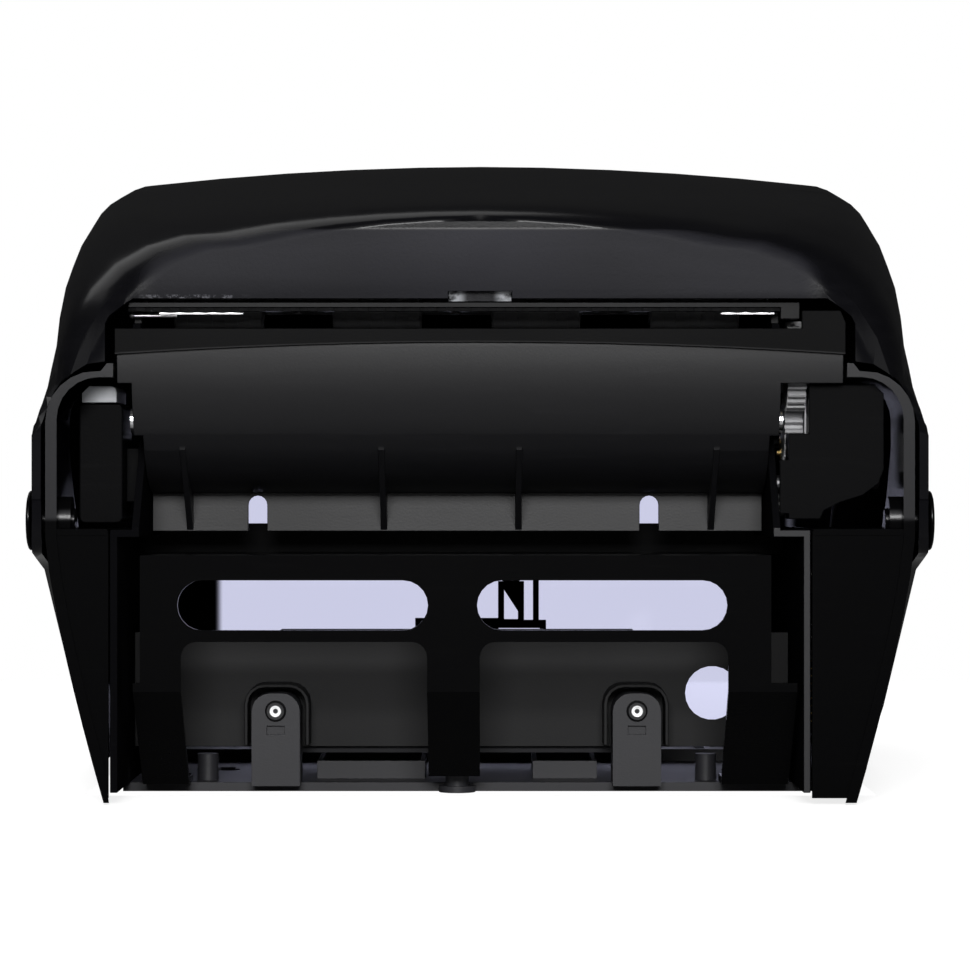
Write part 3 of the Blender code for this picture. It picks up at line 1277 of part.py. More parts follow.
def shaft_bush(name, side, inner):
    """Flanged bush that carries the drive shaft in a frame."""
    bore = DRIVE_SHAFT_RADIUS + RUN_CLEARANCE
    outer = inner + side * (FRAME_WALL + AIR)
    flange = outer + side * BUSH_FLANGE_WALL
    bush = turned(name, SIDE, (-DRIVE_DEPTH, DRIVE_HEIGHT), [
        (inner, bore), (inner, BUSH_RADIUS), (outer, BUSH_RADIUS), (outer, BUSH_FLANGE_RADIUS),
        (flange, BUSH_FLANGE_RADIUS), (flange, bore),
    ], closed=True, sides=20)
    return place(bush, "brass")


def pinch_roller():
    """Pinch shaft and its sleeve."""
    centre = (-PINCH_DEPTH, DRIVE_HEIGHT)
    reach = CARRIER_WALL + AIR
    shaft = cylinder("pinch_shaft", SIDE, centre, PINCH_SHAFT_RADIUS, LEFT_OUTER - reach, RIGHT_OUTER + reach, 20)
    place(shaft, "steel", (0, *centre))
    tyres = ringed_sleeve("pinch_sleeve", centre, PINCH_CORE_RADIUS, PINCH_SLEEVE_RADIUS,
                          PINCH_TYRE_LENGTH, PINCH_SHAFT_RADIUS + AIR)
    return place(tyres, "matte_black", (0, *centre))


def pinch_carrier(name, side, face):
    """Block that carries an end of the pinch shaft and slides beside its frame."""
    centre = (-PINCH_DEPTH, DRIVE_HEIGHT)
    span = sorted((face + side * AIR, face + side * CARRIER_WALL))
    depths = (-PINCH_DEPTH - CARRIER_DEPTH / 2, -PINCH_DEPTH + CARRIER_DEPTH / 2)
    heights = (DRIVE_HEIGHT - CARRIER_HALF_HEIGHT, DRIVE_HEIGHT + CARRIER_HALF_HEIGHT)
    outline = rounded([(u, v, PINCH_SHAFT_RADIUS) for u, v in rectangle(depths, heights)], 3)
    bore = circle(centre, PINCH_SHAFT_RADIUS + RUN_CLEARANCE, 20)
    return place(prism(name, SIDE, [outline, bore], *span), "nylon", (0, *centre))


def pinch_spring(name, side, face):
    """Compression spring between a frame's seat and its carrier."""
    low = -FRAME_FRONT + BITE + SPRING_WIRE + AIR
    high = -PINCH_DEPTH - CARRIER_DEPTH / 2 - SPRING_WIRE - AIR
    x = face + side * (CARRIER_WALL / 2 + AIR)
    points = coil_points(FRONT, (x, DRIVE_HEIGHT), SPRING_RADIUS - SPRING_WIRE, low, high, SPRING_TURNS)
    return place(wire(name, points, SPRING_WIRE), "steel")


def tie_rod():
    """Steel rod that holds the feed frames apart, with collars outside the frames."""
    left = LEFT_OUTER - AIR
    right = RIGHT_OUTER + AIR
    profile = [
        (left - TIE_COLLAR_WALL, 0), (left - TIE_COLLAR_WALL, TIE_COLLAR_RADIUS),
        (left, TIE_COLLAR_RADIUS), (left, TIE_RADIUS), (right, TIE_RADIUS), (right, TIE_COLLAR_RADIUS),
        (right + TIE_COLLAR_WALL, TIE_COLLAR_RADIUS), (right + TIE_COLLAR_WALL, 0),
    ]
    return place(turned("tie_rod", SIDE, (-TIE_DEPTH, TIE_HEIGHT), profile, sides=20), "steel")


def transfer_bar():
    """Fingered flap above the rollers that tucks a new roll's towel into the nip."""
    path = [
        (-TRANSFER_DEPTH + TRANSFER_PIN_RADIUS, TRANSFER_HEIGHT),
        (-TRANSFER_DEPTH - TRANSFER_PIN_RADIUS, TRANSFER_HEIGHT),
        (-(TRANSFER_DEPTH + TRANSFER_TIP_DEPTH) / 2, (2 * TRANSFER_HEIGHT + TRANSFER_TIP_HEIGHT) / 3),
        (-TRANSFER_TIP_DEPTH, TRANSFER_TIP_HEIGHT),
    ]
    left, right = BAY_LEFT + 2 * AIR, BAY_RIGHT - 2 * AIR
    bar = sheet("transfer_bar", SIDE, path, left, right, TRANSFER_WALL)
    pins = cylinder("transfer_pins", SIDE, (-TRANSFER_DEPTH, TRANSFER_HEIGHT), TRANSFER_PIN_RADIUS,
                    BAY_LEFT - FRAME_WALL, BAY_RIGHT + FRAME_WALL, 16)
    fuse(bar, pins)
    pitch = (right - left) / TRANSFER_FINGERS
    gaps = []
    for i in range(1, TRANSFER_FINGERS):
        x = left + i * pitch
        gaps.append(box("gap", (x - TRANSFER_FINGER_GAP / 2, x + TRANSFER_FINGER_GAP / 2),
                        (-TRANSFER_TIP_DEPTH - OVERRUN, -TRANSFER_TIP_DEPTH + TRANSFER_FINGER_LENGTH),
                        (TRANSFER_TIP_HEIGHT - OVERRUN, TRANSFER_HEIGHT + OVERRUN)))
    cut(bar, combined("transfer_gaps", *gaps))
    return place(bar, "nylon", (0, -TRANSFER_DEPTH, TRANSFER_HEIGHT))


# Exit slot

def front_rail():
    """Cross rail in front of the exit slot, seated on the frames' noses, with stakes for the tear bar."""
    rail = box("front_rail", (RAIL_LEFT, RAIL_RIGHT), (-RAIL_FRONT, -RAIL_REAR), (RAIL_BOTTOM, RAIL_TOP))
    lugs = []
    for low in (LEFT_OUTER, BAY_RIGHT):
        lugs.append(box("lug", (low, low + FRAME_WALL), (-RAIL_REAR - BITE, -FRAME_NOSE - AIR),
                        (TEAR_TOP + AIR, RAIL_TOP)))
    end = box("rail_end", (RIGHT_OUTER + AIR, RAIL_RIGHT), (-RAIL_REAR - BITE, -RAIL_REAR + RAIL_LUG_DEPTH),
              (RAIL_BOTTOM, RAIL_TOP))
    fuse(rail, end)
    for lug in lugs:
        fuse(rail, lug)
    for share in STAKE_SHARES:
        x = BAY_LEFT + share * BAY_WIDTH
        face = -TEAR_FRONT + TEAR_WALL + AIR
        fuse(rail, turned("rail_stake", FRONT, (x, STAKE_HEIGHT), [
            (RAIL_REAR + BITE, 0), (RAIL_REAR + BITE, STAKE_RADIUS), (-face, STAKE_RADIUS),
            (-face, STAKE_HEAD_RADIUS), (-face - STAKE_HEAD_WALL / 2, STAKE_HEAD_RADIUS),
            (-face - STAKE_HEAD_WALL, STAKE_HEAD_RADIUS * 0.7), (-face - STAKE_HEAD_WALL, 0),
        ], sides=14))
    return place(rail, "matte_black")


def tear_bar():
    """Serrated steel tear bar behind the rail."""
    left, right = RAIL_LEFT, RIGHT_OUTER
    teeth = int((right - left) / TOOTH_PITCH)
    pitch = (right - left) / teeth
    edge = []
    for i in range(teeth):
        edge.append((left + i * pitch, TEAR_BOTTOM + TOOTH_HEIGHT))
        edge.append((left + (i + 0.5) * pitch, TEAR_BOTTOM))
    edge += [(right, TEAR_BOTTOM + TOOTH_HEIGHT), (right, TEAR_TOP), (left, TEAR_TOP)]
    holes = []
    for share in STAKE_SHARES:
        x = BAY_LEFT + share * BAY_WIDTH
        holes.append(circle((x, STAKE_HEIGHT), STAKE_RADIUS + AIR, 12))
    bar = prism("tear_bar", FRONT, [edge] + holes, -TEAR_FRONT, -TEAR_FRONT + TEAR_WALL)
    return place(bar, "steel")


def sensor():
    """Hand sensor at the middle of the exit slot: case on the rail, lens facing down."""
    half = SENSOR_CASE_HALF_WIDTH
    case = box("sensor_case", (-half, half), (-SENSOR_CASE_FRONT, -RAIL_FRONT - AIR),
               (RAIL_BOTTOM, SENSOR_CASE_TOP))
    lens_half = SENSOR_LENS_HALF_WIDTH
    pocket = box("sensor_pocket", (-lens_half - AIR, lens_half + AIR),
                 (-SENSOR_LENS_FRONT - AIR, -RAIL_FRONT + OVERRUN),
                 (RAIL_BOTTOM - OVERRUN, RAIL_BOTTOM + SENSOR_LENS_WALL + AIR))
    cut(case, pocket)
    place(case, "matte_black")
    lens = box("sensor_lens", (-lens_half, lens_half), (-SENSOR_LENS_FRONT, -RAIL_FRONT - AIR),
               (RAIL_BOTTOM, RAIL_BOTTOM + SENSOR_LENS_WALL))
    place(lens, "lens")


def paper_springs():
    """Two steel strips that press the towel to the tear bar, the left one ending in a balled wire."""
    face = -TEAR_FRONT + TEAR_WALL + AIR
    heights = (STRIP_BOTTOM, STRIP_BOTTOM + STRIP_HEIGHT)
    left, right = [
        box(name, span, (face, face + STRIP_WALL), heights)
        for name, span in zip(("paper_spring_left", "paper_spring_right"), STRIPS)
    ]
    radius, big = STRIP_WIRE_RADIUS, STRIP_BALL_RADIUS
    end = STRIPS[0][0] + STRIP_HEIGHT
    ball = STRIPS[0][0] - STRIP_WIRE_LENGTH
    centre = (face + big, STRIP_BOTTOM + STRIP_HEIGHT / 2)
    fuse(left, turned("balled_wire", SIDE, centre, [
        (ball - big, 0), (ball - 0.8 * big, 0.6 * big), (ball, big), (ball + 0.8 * big, 0.6 * big),
        (ball + big, radius), (end, radius), (end, 0),
    ], sides=14))
    place(left, "steel")
    place(right, "steel")


# Gears, motor and gearbox case

def gear(name, centre, teeth, first_tooth, bore, finish):
    """Spur gear on an axis along X."""
    wheel = prism(name, SIDE, [gear_outline(centre, teeth, first_tooth), circle(centre, bore, 16)],
                  GEAR_LEFT, GEAR_RIGHT)
    return place(wheel, finish, (0, *centre))


def gears():
    """Drive gear, idler and motor pinion on its shaft, set so that teeth meet gaps at rest."""
    drive_centre = (-DRIVE_DEPTH, DRIVE_HEIGHT)
    gear("drive_gear", drive_centre, DRIVE_TEETH, IDLER_ANGLE, DRIVE_SHAFT_RADIUS + AIR, "nylon")
    idler_first = IDLER_ANGLE + 180 + 180 / IDLER_TEETH
    gear("idler_gear", IDLER_CENTRE, IDLER_TEETH, idler_first, IDLER_BORE, "nylon")
    step = 360 / IDLER_TEETH
    phase = ((PINION_ANGLE - idler_first) / step) % 1.0
    pinion_first = PINION_ANGLE + 180 + (0.5 + phase) * 360 / PINION_TEETH
    outline = gear_outline(MOTOR_CENTRE, PINION_TEETH, pinion_first)
    pinion = prism("motor_pinion", SIDE, [outline], GEAR_LEFT, GEAR_RIGHT)
    end = GEAR_RIGHT + AIR + GEAR_PLATE_WALL - MOTOR_NOSE_LENGTH - AIR
    fuse(pinion, cylinder("motor_shaft", SIDE, MOTOR_CENTRE, MOTOR_SHAFT_RADIUS, GEAR_LEFT - MOTOR_SHAFT_RADIUS,
                          end, 14))
    place(pinion, "brass", (0, *MOTOR_CENTRE))


def gear_plate():
    """Steel plate outside the gears, with the idler's pin and two posts back to the right wall."""
    low, high = GEAR_RIGHT + AIR, GEAR_RIGHT + AIR + GEAR_PLATE_WALL
    top = MOTOR_CENTRE[1] + GEAR_PLATE_MARGIN
    outline = rounded([
        (-DRIVE_DEPTH, GEAR_PLATE_BOTTOM, GEAR_POST_RADIUS),
        (-CASE_REAR - GEAR_POST_RADIUS, GEAR_PLATE_BOTTOM, GEAR_POST_RADIUS),
        (-CASE_REAR - GEAR_POST_RADIUS, top, GEAR_PLATE_MARGIN),
        (-DRIVE_DEPTH, top, GEAR_PLATE_MARGIN),
    ])
    nose = circle(MOTOR_CENTRE, MOTOR_NOSE_RADIUS + AIR, 16)
    plate = prism("gear_plate", SIDE, [outline, nose], low, high)
    pin = cylinder("idler_pin", SIDE, IDLER_CENTRE, IDLER_BORE - RUN_CLEARANCE, GEAR_LEFT, low + BITE, 16)
    posts = []
    for depth, height in GEAR_POSTS:
        posts.append(cylinder("post", SIDE, (-depth, height), GEAR_POST_RADIUS, RIGHT_OUTER + AIR,
                              low + BITE, 16))
    fuse(plate, pin, combined("gear_posts", *posts))
    return place(plate, "dark_steel")


def feed_motor():
    """Small can motor with a flat top and bottom and a nose in the gear plate."""
    start = GEAR_RIGHT + 2 * AIR + GEAR_PLATE_WALL
    end = start + MOTOR_LENGTH
    centre = MOTOR_CENTRE
    motor = turned("feed_motor", SIDE, centre, [
        (start - MOTOR_NOSE_LENGTH, 0), (start - MOTOR_NOSE_LENGTH, MOTOR_NOSE_RADIUS),
        (start, MOTOR_NOSE_RADIUS), (start, MOTOR_RADIUS), (end - MOTOR_CAP_LENGTH, MOTOR_RADIUS),
        (end - MOTOR_CAP_LENGTH, MOTOR_RADIUS * 0.93), (end, MOTOR_RADIUS * 0.93),
        (end, 0),
    ])
    flats = []
    for side in (-1, 1):
        heights = sorted((centre[1] + side * MOTOR_FLAT, centre[1] + side * (MOTOR_RADIUS + OVERRUN)))
        flats.append(box("flat", (start - OVERRUN / 2, end + OVERRUN),
                         (centre[0] - MOTOR_RADIUS - OVERRUN, centre[0] + MOTOR_RADIUS + OVERRUN), heights))
    cut(motor, combined("motor_flats", *flats))
    place(motor, "dark_steel")


def gearbox_case():
    """Case under the motor: plan shape with a swept rear corner, open top, two motor saddles."""
    span_x = CASE_RIGHT - CASE_STEP
    span_y = CASE_STEP_DEPTH - CASE_REAR
    outline = [
        (CASE_LEFT, -CASE_STEP_DEPTH), (CASE_STEP, -CASE_STEP_DEPTH), (CASE_STEP, -CASE_FRONT),
        (CASE_RIGHT - CASE_CORNER, -CASE_FRONT), (CASE_RIGHT, -CASE_FRONT + CASE_CORNER),
    ]
    outline += [(CASE_STEP + u * span_x, -CASE_REAR - v * span_y) for u, v in CASE_SWEEP_SHARES]
    outline += [(CASE_LEFT, -CASE_REAR)]
    case = prism("gearbox_case", PLAN, [outline], CASE_BOTTOM, CASE_TOP)
    cut(case, prism("case_hollow", PLAN, [inset_outline(outline, CASE_WALL)], CASE_BOTTOM + CASE_WALL,
                    CASE_TOP + OVERRUN))
    lug = box("case_lug", (RIGHT_OUTER + AIR, CASE_LEFT + CASE_WALL / 2),
              (-CASE_LUG_DEPTH, -CASE_REAR - CASE_WALL), (CASE_BOTTOM, CASE_BOTTOM + CASE_WALL))
    fuse(case, lug)
    radius = MOTOR_RADIUS + AIR
    start = GEAR_RIGHT + 2 * AIR + GEAR_PLATE_WALL
    for x in (start + SADDLE_WALL, CASE_RIGHT - 2 * CASE_WALL - SADDLE_WALL):
        base = CASE_BOTTOM + CASE_WALL / 2
        left, right = MOTOR_CENTRE[0] - radius / 2, MOTOR_CENTRE[0] + radius / 2
        saddle = [(left, base), (right, base), (right, MOTOR_CENTRE[1] - MOTOR_FLAT - AIR),
                  (left, MOTOR_CENTRE[1] - MOTOR_FLAT - AIR)]
        fuse(case, prism("case_saddle", SIDE, [saddle], x, x + SADDLE_WALL))
    return place(case, "matte_black")


def inset_outline(outline, inset):
    """Outline set in by a wall's thickness."""
    count = len(outline)
    area = sum(outline[i - 1][0] * outline[i][1] - outline[i][0] * outline[i - 1][1] for i in range(count))
    turn = 1 if area > 0 else -1
    path = []
    for i in range(count):
        here = Vector(outline[i])
        before = (here - Vector(outline[i - 1])).normalized()
        after = (Vector(outline[(i + 1) % count]) - here).normalized()
        normal_before = Vector((-before.y, before.x)) * turn
        normal_after = Vector((-after.y, after.x)) * turn
        mean = (normal_before + normal_after).normalized()
        path.append(tuple(here + mean * (inset / max(mean.dot(normal_before), 0.5))))
    return path


def power_module():
    """Long module in the left pocket with a lighter cap at its front end."""
    outline = rounded([
        (MODULE_LEFT, -MODULE_FRONT, MODULE_CORNER), (MODULE_RIGHT, -MODULE_FRONT, MODULE_CORNER),
        (MODULE_RIGHT, -MODULE_REAR, MODULE_CORNER), (MODULE_LEFT, -MODULE_REAR, MODULE_CORNER),
    ], 3)
    module = prism("power_module", PLAN, [outline], MODULE_BOTTOM, MODULE_TOP)
    lug = box("module_lug", (MODULE_RIGHT - BITE, LEFT_OUTER - AIR), (-MODULE_LUG[0], -MODULE_LUG[1]),
              MODULE_LUG_HEIGHTS)
    fuse(module, lug)
    place(module, "matte_black")
    cap = rounded([
        (MODULE_CAP_LEFT, -MODULE_CAP_FRONT, MODULE_CORNER),
        (MODULE_CAP_RIGHT, -MODULE_CAP_FRONT, MODULE_CORNER),
        (MODULE_CAP_RIGHT, -MODULE_FRONT - AIR, 0), (MODULE_CAP_LEFT, -MODULE_FRONT - AIR, 0),
    ], 3)
    place(prism("power_module_cap", PLAN, [cap], MODULE_BOTTOM - MODULE_CORNER, MODULE_TOP - MODULE_CORNER),
          "button_grey")


# Roll arms and hubs

def arm_outline():
    """Side view of a roll arm, from its base to the round head at the roll's axis."""
    head = (-ROLL_DEPTH, ROLL_HEIGHT)
    waist_front = (-ROLL_DEPTH - ARM_WAIST_HALF, ARM_WAIST_HEIGHT)
    waist_rear = (-ROLL_DEPTH + ARM_WAIST_HALF, ARM_WAIST_HEIGHT)
    outline = [(-ARM_BASE_FRONT, ARM_BASE_BOTTOM), (-ARM_BASE_REAR, ARM_BASE_BOTTOM)]
    outline += [(-ARM_BASE_REAR, ARM_WAIST_HEIGHT - ARM_WAIST_HALF), waist_rear]
    outline += arc(head, ARM_HEAD_RADIUS, -45, 225, 18)
    return outline + [waist_front]


def roll_arms():
    """Fixed left arm and sprung right arm, each with an axle stub for its hub."""
    head = (-ROLL_DEPTH, ROLL_HEIGHT)
    hole = circle((-ARM_SCREW_DEPTH, ARM_SCREW_HEIGHT), SCREW_RADIUS + AIR, 12)
    left = prism("roll_arm_left", SIDE, [arm_outline(), hole], ARM_LEFT_FACE - ARM_WALL, ARM_LEFT_FACE)
    fuse(left, cylinder("left_stud", SIDE, (-ARM_SCREW_DEPTH, ARM_STUD_HEIGHT), ARM_STUD_RADIUS,
                        ARM_LEFT_FACE - ARM_WALL / 2, BAY_LEFT - AIR, 16))
    fuse(left, cylinder("left_axle", SIDE, head, ARM_AXLE_RADIUS, ARM_LEFT_FACE - ARM_WALL / 2,
                        ARM_LEFT_FACE + ARM_AXLE_LENGTH, 20))
    fuse(left, arm_ring("left_arm_ring", ARM_LEFT_FACE - ARM_WALL - ARM_RIB_DEPTH,
                        ARM_LEFT_FACE - ARM_WALL + BITE))
    place(left, "matte_black")

    right = prism("roll_arm_right", SIDE, [arm_outline()], ARM_RIGHT_FACE, ARM_RIGHT_FACE + ARM_WALL)
    fuse(right, cylinder("right_axle", SIDE, head, ARM_AXLE_RADIUS, ARM_RIGHT_FACE - ARM_AXLE_LENGTH,
                         ARM_RIGHT_FACE + ARM_WALL / 2, 20))
    fuse(right, arm_ring("right_arm_ring", ARM_RIGHT_FACE + ARM_WALL - BITE,
                         ARM_RIGHT_FACE + ARM_WALL + ARM_RIB_DEPTH))
    pivot = (ARM_PIVOT_X, ARM_PIVOT_HEIGHT)
    fuse(right, cylinder("arm_barrel", FRONT, pivot, ARM_BARREL_RADIUS, -ARM_BARREL_FRONT, -ARM_BARREL_REAR, 20))
    cut(right, box("arm_spring_room", (ARM_RIGHT_FACE - OVERRUN, ARM_PIVOT_X + OVERRUN),
                   (-ARM_BARREL_REAR, -ARM_BASE_REAR + OVERRUN),
                   (ARM_BASE_BOTTOM - OVERRUN, ARM_PIVOT_HEIGHT + 2 * LUG_HALF_HEIGHT)))
    cut(right, box("arm_front_room", (ARM_RIGHT_FACE - OVERRUN, ARM_PIVOT_X + OVERRUN),
                   (-ARM_BASE_FRONT - OVERRUN, -LUG_FRONT + LUG_WALL + AIR),
                   (ARM_BASE_BOTTOM - OVERRUN, ARM_PIVOT_HEIGHT + 2 * LUG_HALF_HEIGHT)))
    cut(right, cylinder("arm_pin_bore", FRONT, pivot, ARM_PIN_RADIUS + RUN_CLEARANCE,
                        -ARM_BARREL_FRONT - OVERRUN, -ARM_BARREL_REAR + OVERRUN, 16))
    place(right, "matte_black", (ARM_PIVOT_X, -ROLL_DEPTH, ARM_PIVOT_HEIGHT))


def arm_ring(name, low, high):
    """Stiffening ring round an arm's head."""
    head = (-ROLL_DEPTH, ROLL_HEIGHT)
    return prism(name, SIDE, [circle(head, ARM_HEAD_RADIUS - ARM_RIB_WALL / 2, 24),
                              circle(head, ARM_HEAD_RADIUS - 1.5 * ARM_RIB_WALL, 24)], low, high)


def roll_hub(name, face, direction):
    """Hub that a towel roll's core turns on: flange against the arm, nose into the core."""
    bore = ARM_AXLE_RADIUS + RUN_CLEARANCE
    start = face + direction * AIR
    flange = start + direction * HUB_FLANGE_WALL
    end = start + direction * HUB_LENGTH
    blind = end - direction * HUB_CAP_WALL
    hub = turned(name, SIDE, (-ROLL_DEPTH, ROLL_HEIGHT), [
        (blind, 0), (blind, bore), (start, bore), (start, HUB_FLANGE_RADIUS), (flange, HUB_FLANGE_RADIUS),
        (flange, HUB_NOSE_RADIUS), ((flange + end) / 2, HUB_NOSE_RADIUS), (end, HUB_TIP_RADIUS), (end, 0),
    ], sides=28)
    return place(hub, "gloss_black", (0, -ROLL_DEPTH, ROLL_HEIGHT))


def arm_hardware():
    """Screw of the left arm, pin and torsion spring of the right one."""
    face = ARM_LEFT_FACE - ARM_WALL - AIR
    place(pan_screw("arm_screw", SIDE, (-ARM_SCREW_DEPTH, ARM_SCREW_HEIGHT), face, BAY_LEFT - AIR, 1), "steel")
    pivot = (ARM_PIVOT_X, ARM_PIVOT_HEIGHT)
    place(cylinder("arm_pivot_pin", FRONT, pivot, ARM_PIN_RADIUS, -LUG_FRONT, -LUG_REAR, 16), "steel")
    low, high = -ARM_BARREL_REAR + ARM_SPRING_WIRE + AIR, -LUG_REAR - LUG_WALL - ARM_SPRING_WIRE - AIR
    points = coil_points(FRONT, pivot, ARM_SPRING_RADIUS - ARM_SPRING_WIRE, low, high, ARM_SPRING_TURNS)
    place(wire("arm_spring", points, ARM_SPRING_WIRE), "steel")


# Battery box

def battery_box():
    """Open-fronted box for four cells, standing on the floor panel."""
    left, right = BOX_MIDDLE_X - BOX_HALF_WIDTH, BOX_MIDDLE_X + BOX_HALF_WIDTH
    outer = box("battery_box", (left, right), (-BOX_FRONT, -BOX_REAR), (BOX_BOTTOM, BOX_TOP))
    hollow = box("battery_hollow", (left + BOX_WALL, right - BOX_WALL),
                 (-BOX_FRONT - OVERRUN, -BOX_REAR - BOX_WALL), (BOX_BOTTOM + BOX_WALL, BOX_TOP - BOX_WALL))
    cut(outer, hollow)
    ears = []
    depth, height = door_axis()
    for low, high in ((left, left + BOX_WALL), (right - BOX_WALL, right)):
        ears.append(prism("ear", SIDE, [
            rectangle((depth - DOOR_EAR, -BOX_FRONT + BITE), (BOX_BOTTOM, height + DOOR_EAR)),
            circle((depth, height), DOOR_PIN_RADIUS + AIR, 12),
        ], low, high))
    fuse(outer, combined("battery_ears", *ears))
    return place(outer, "matte_black")


def door_axis():
    """Side-view place of the battery door's hinge."""
    return (-BOX_FRONT - AIR - DOOR_PIN_RADIUS - AIR, BOX_BOTTOM + DOOR_EAR)


def battery_door():
    """Door across the battery box, hinged along its bottom edge."""
    depth, height = door_axis()
    half = BOX_HALF_WIDTH - BOX_WALL - AIR
    xs = (BOX_MIDDLE_X - half, BOX_MIDDLE_X + half)
    door = box("battery_door", xs, (depth - DOOR_WALL / 2, depth + DOOR_WALL / 2),
               (height - DOOR_WALL / 2, BOX_TOP))
    grip = box("door_grip", (BOX_MIDDLE_X - DOOR_GRIP[0] / 2, BOX_MIDDLE_X + DOOR_GRIP[0] / 2),
               (depth - DOOR_WALL / 2 - DOOR_GRIP[1], depth), (BOX_TOP - DOOR_GRIP[1], BOX_TOP - DOOR_WALL))
    pins = cylinder("door_pins", SIDE, (depth, height), DOOR_PIN_RADIUS,
                    BOX_MIDDLE_X - BOX_HALF_WIDTH, BOX_MIDDLE_X + BOX_HALF_WIDTH, 12)
    fuse(door, grip, pins)
    return place(door, "matte_black", (0, depth, height))


def battery_contacts():
    """Link at the left ends of the two rows of cells, and a terminal at the right end of each."""
    left = BOX_MIDDLE_X - BOX_HALF_WIDTH + BOX_WALL + AIR
    right = BOX_MIDDLE_X + BOX_HALF_WIDTH - BOX_WALL - AIR
    lower = BOX_BOTTOM + BOX_WALL + CELL_CLEARANCE + CELL_RADIUS
    upper = lower + 2 * CELL_RADIUS + CELL_CLEARANCE
    half = CONTACT_HALF_HEIGHT
    depths = (-CELL_DEPTH - half, -CELL_DEPTH + half)
    place(box("contact_link", (left, left + CONTACT_WALL), depths, (lower - half, upper + half)), "steel")
    for name, centre in (("contact_negative", lower), ("contact_positive", upper)):
        place(box(name, (right - CONTACT_WALL, right), depths, (centre - half, centre + half)), "steel")


# Electronics

def circuit_board():
    """Control board on the outside of the right partition, with its soldered components."""
    left = RIGHT_OUTER + STEP_RIGHT + AIR
    outline = rounded([
        (-BOARD_FRONT, BOARD_BOTTOM, 0), (-BOARD_REAR, BOARD_BOTTOM, 0),
        (-BOARD_REAR, BOARD_TOP, 0), (-BOARD_FRONT, BOARD_TOP, 0),
    ])
    board = prism("circuit_board", SIDE, [outline], left, left + BOARD_WALL)
    face = left + BOARD_WALL - BITE
    width, height = BOARD_FRONT - BOARD_REAR, BOARD_TOP - BOARD_BOTTOM
    for low_u, high_u, low_v, high_v, deep in (
        (0.10, 0.38, 0.12, 0.34, 1.5), (0.50, 0.90, 0.10, 0.22, 6.0), (0.52, 0.72, 0.42, 0.60, 1.5),
        (0.10, 0.24, 0.72, 0.90, 5.0), (0.80, 0.92, 0.60, 0.90, 6.0),
    ):
        fuse(board, box("chip", (face, face + deep * BOARD_WALL),
                        (-BOARD_FRONT + low_u * width, -BOARD_FRONT + high_u * width),
                        (BOARD_BOTTOM + low_v * height, BOARD_BOTTOM + high_v * height)))
    for u, v in ((0.36, 0.76), (0.48, 0.80), (0.60, 0.76)):
        centre = (-BOARD_FRONT + u * width, BOARD_BOTTOM + v * height)
        fuse(board, cylinder("capacitor", SIDE, centre, 2 * BOARD_WALL, face, face + 6 * BOARD_WALL, 16))
    return place(board, "board_green")


def control_box():
    """Small control box above the board, with the feed button and the length switch in its front."""
    left = RIGHT_OUTER + STEP_RIGHT + AIR
    outline = rounded([
        (left, -CONTROL_FRONT, CONTROL_CORNER), (CONTROL_RIGHT, -CONTROL_FRONT, CONTROL_CORNER),
        (CONTROL_RIGHT, -CONTROL_REAR, CONTROL_CORNER), (left, -CONTROL_REAR, CONTROL_CORNER),
    ], 3)
    case = prism("control_box", PLAN, [outline], CONTROL_BOTTOM, CONTROL_TOP)
    button, switch = control_places()
    depth = BUTTON_LENGTH + BUTTON_TRAVEL
    cut(case, cylinder("button_bore", FRONT, button, BUTTON_RADIUS + AIR, -CONTROL_FRONT - OVERRUN,
                       -CONTROL_FRONT + depth, 20))
    reach = SWITCH_WIDTH / 2 + SWITCH_TRAVEL + AIR
    cut(case, box("switch_slot", (switch[0] - reach, switch[0] + reach),
                  (-CONTROL_FRONT - OVERRUN, -CONTROL_FRONT + SWITCH_HEIGHT),
                  (switch[1] - SWITCH_HEIGHT / 2 - AIR, switch[1] + SWITCH_HEIGHT / 2 + AIR)))
    place(case, "matte_black")

    start = -CONTROL_FRONT - BUTTON_PROUD
    place(cylinder("feed_button", FRONT, button, BUTTON_RADIUS, start, start + BUTTON_LENGTH, 20),
          "button_grey", (button[0], -CONTROL_FRONT, button[1]))
    knob = box("length_switch", (switch[0] - SWITCH_WIDTH / 2, switch[0] + SWITCH_WIDTH / 2),
               (-CONTROL_FRONT - SWITCH_PROUD, -CONTROL_FRONT + SWITCH_HEIGHT - AIR),
               (switch[1] - SWITCH_HEIGHT / 2, switch[1] + SWITCH_HEIGHT / 2))
    return place(knob, "light_white", (switch[0], -CONTROL_FRONT, switch[1]))


def control_places():
    """Front-view places of the button and the switch."""
    left = RIGHT_OUTER + STEP_RIGHT + AIR
    width, height = CONTROL_RIGHT - left, CONTROL_TOP - CONTROL_BOTTOM
    button = (left + 0.66 * width, CONTROL_BOTTOM + 0.68 * height)
    switch = (left + 0.50 * width, CONTROL_BOTTOM + 0.24 * height)
    return button, switch


# Latch and lock

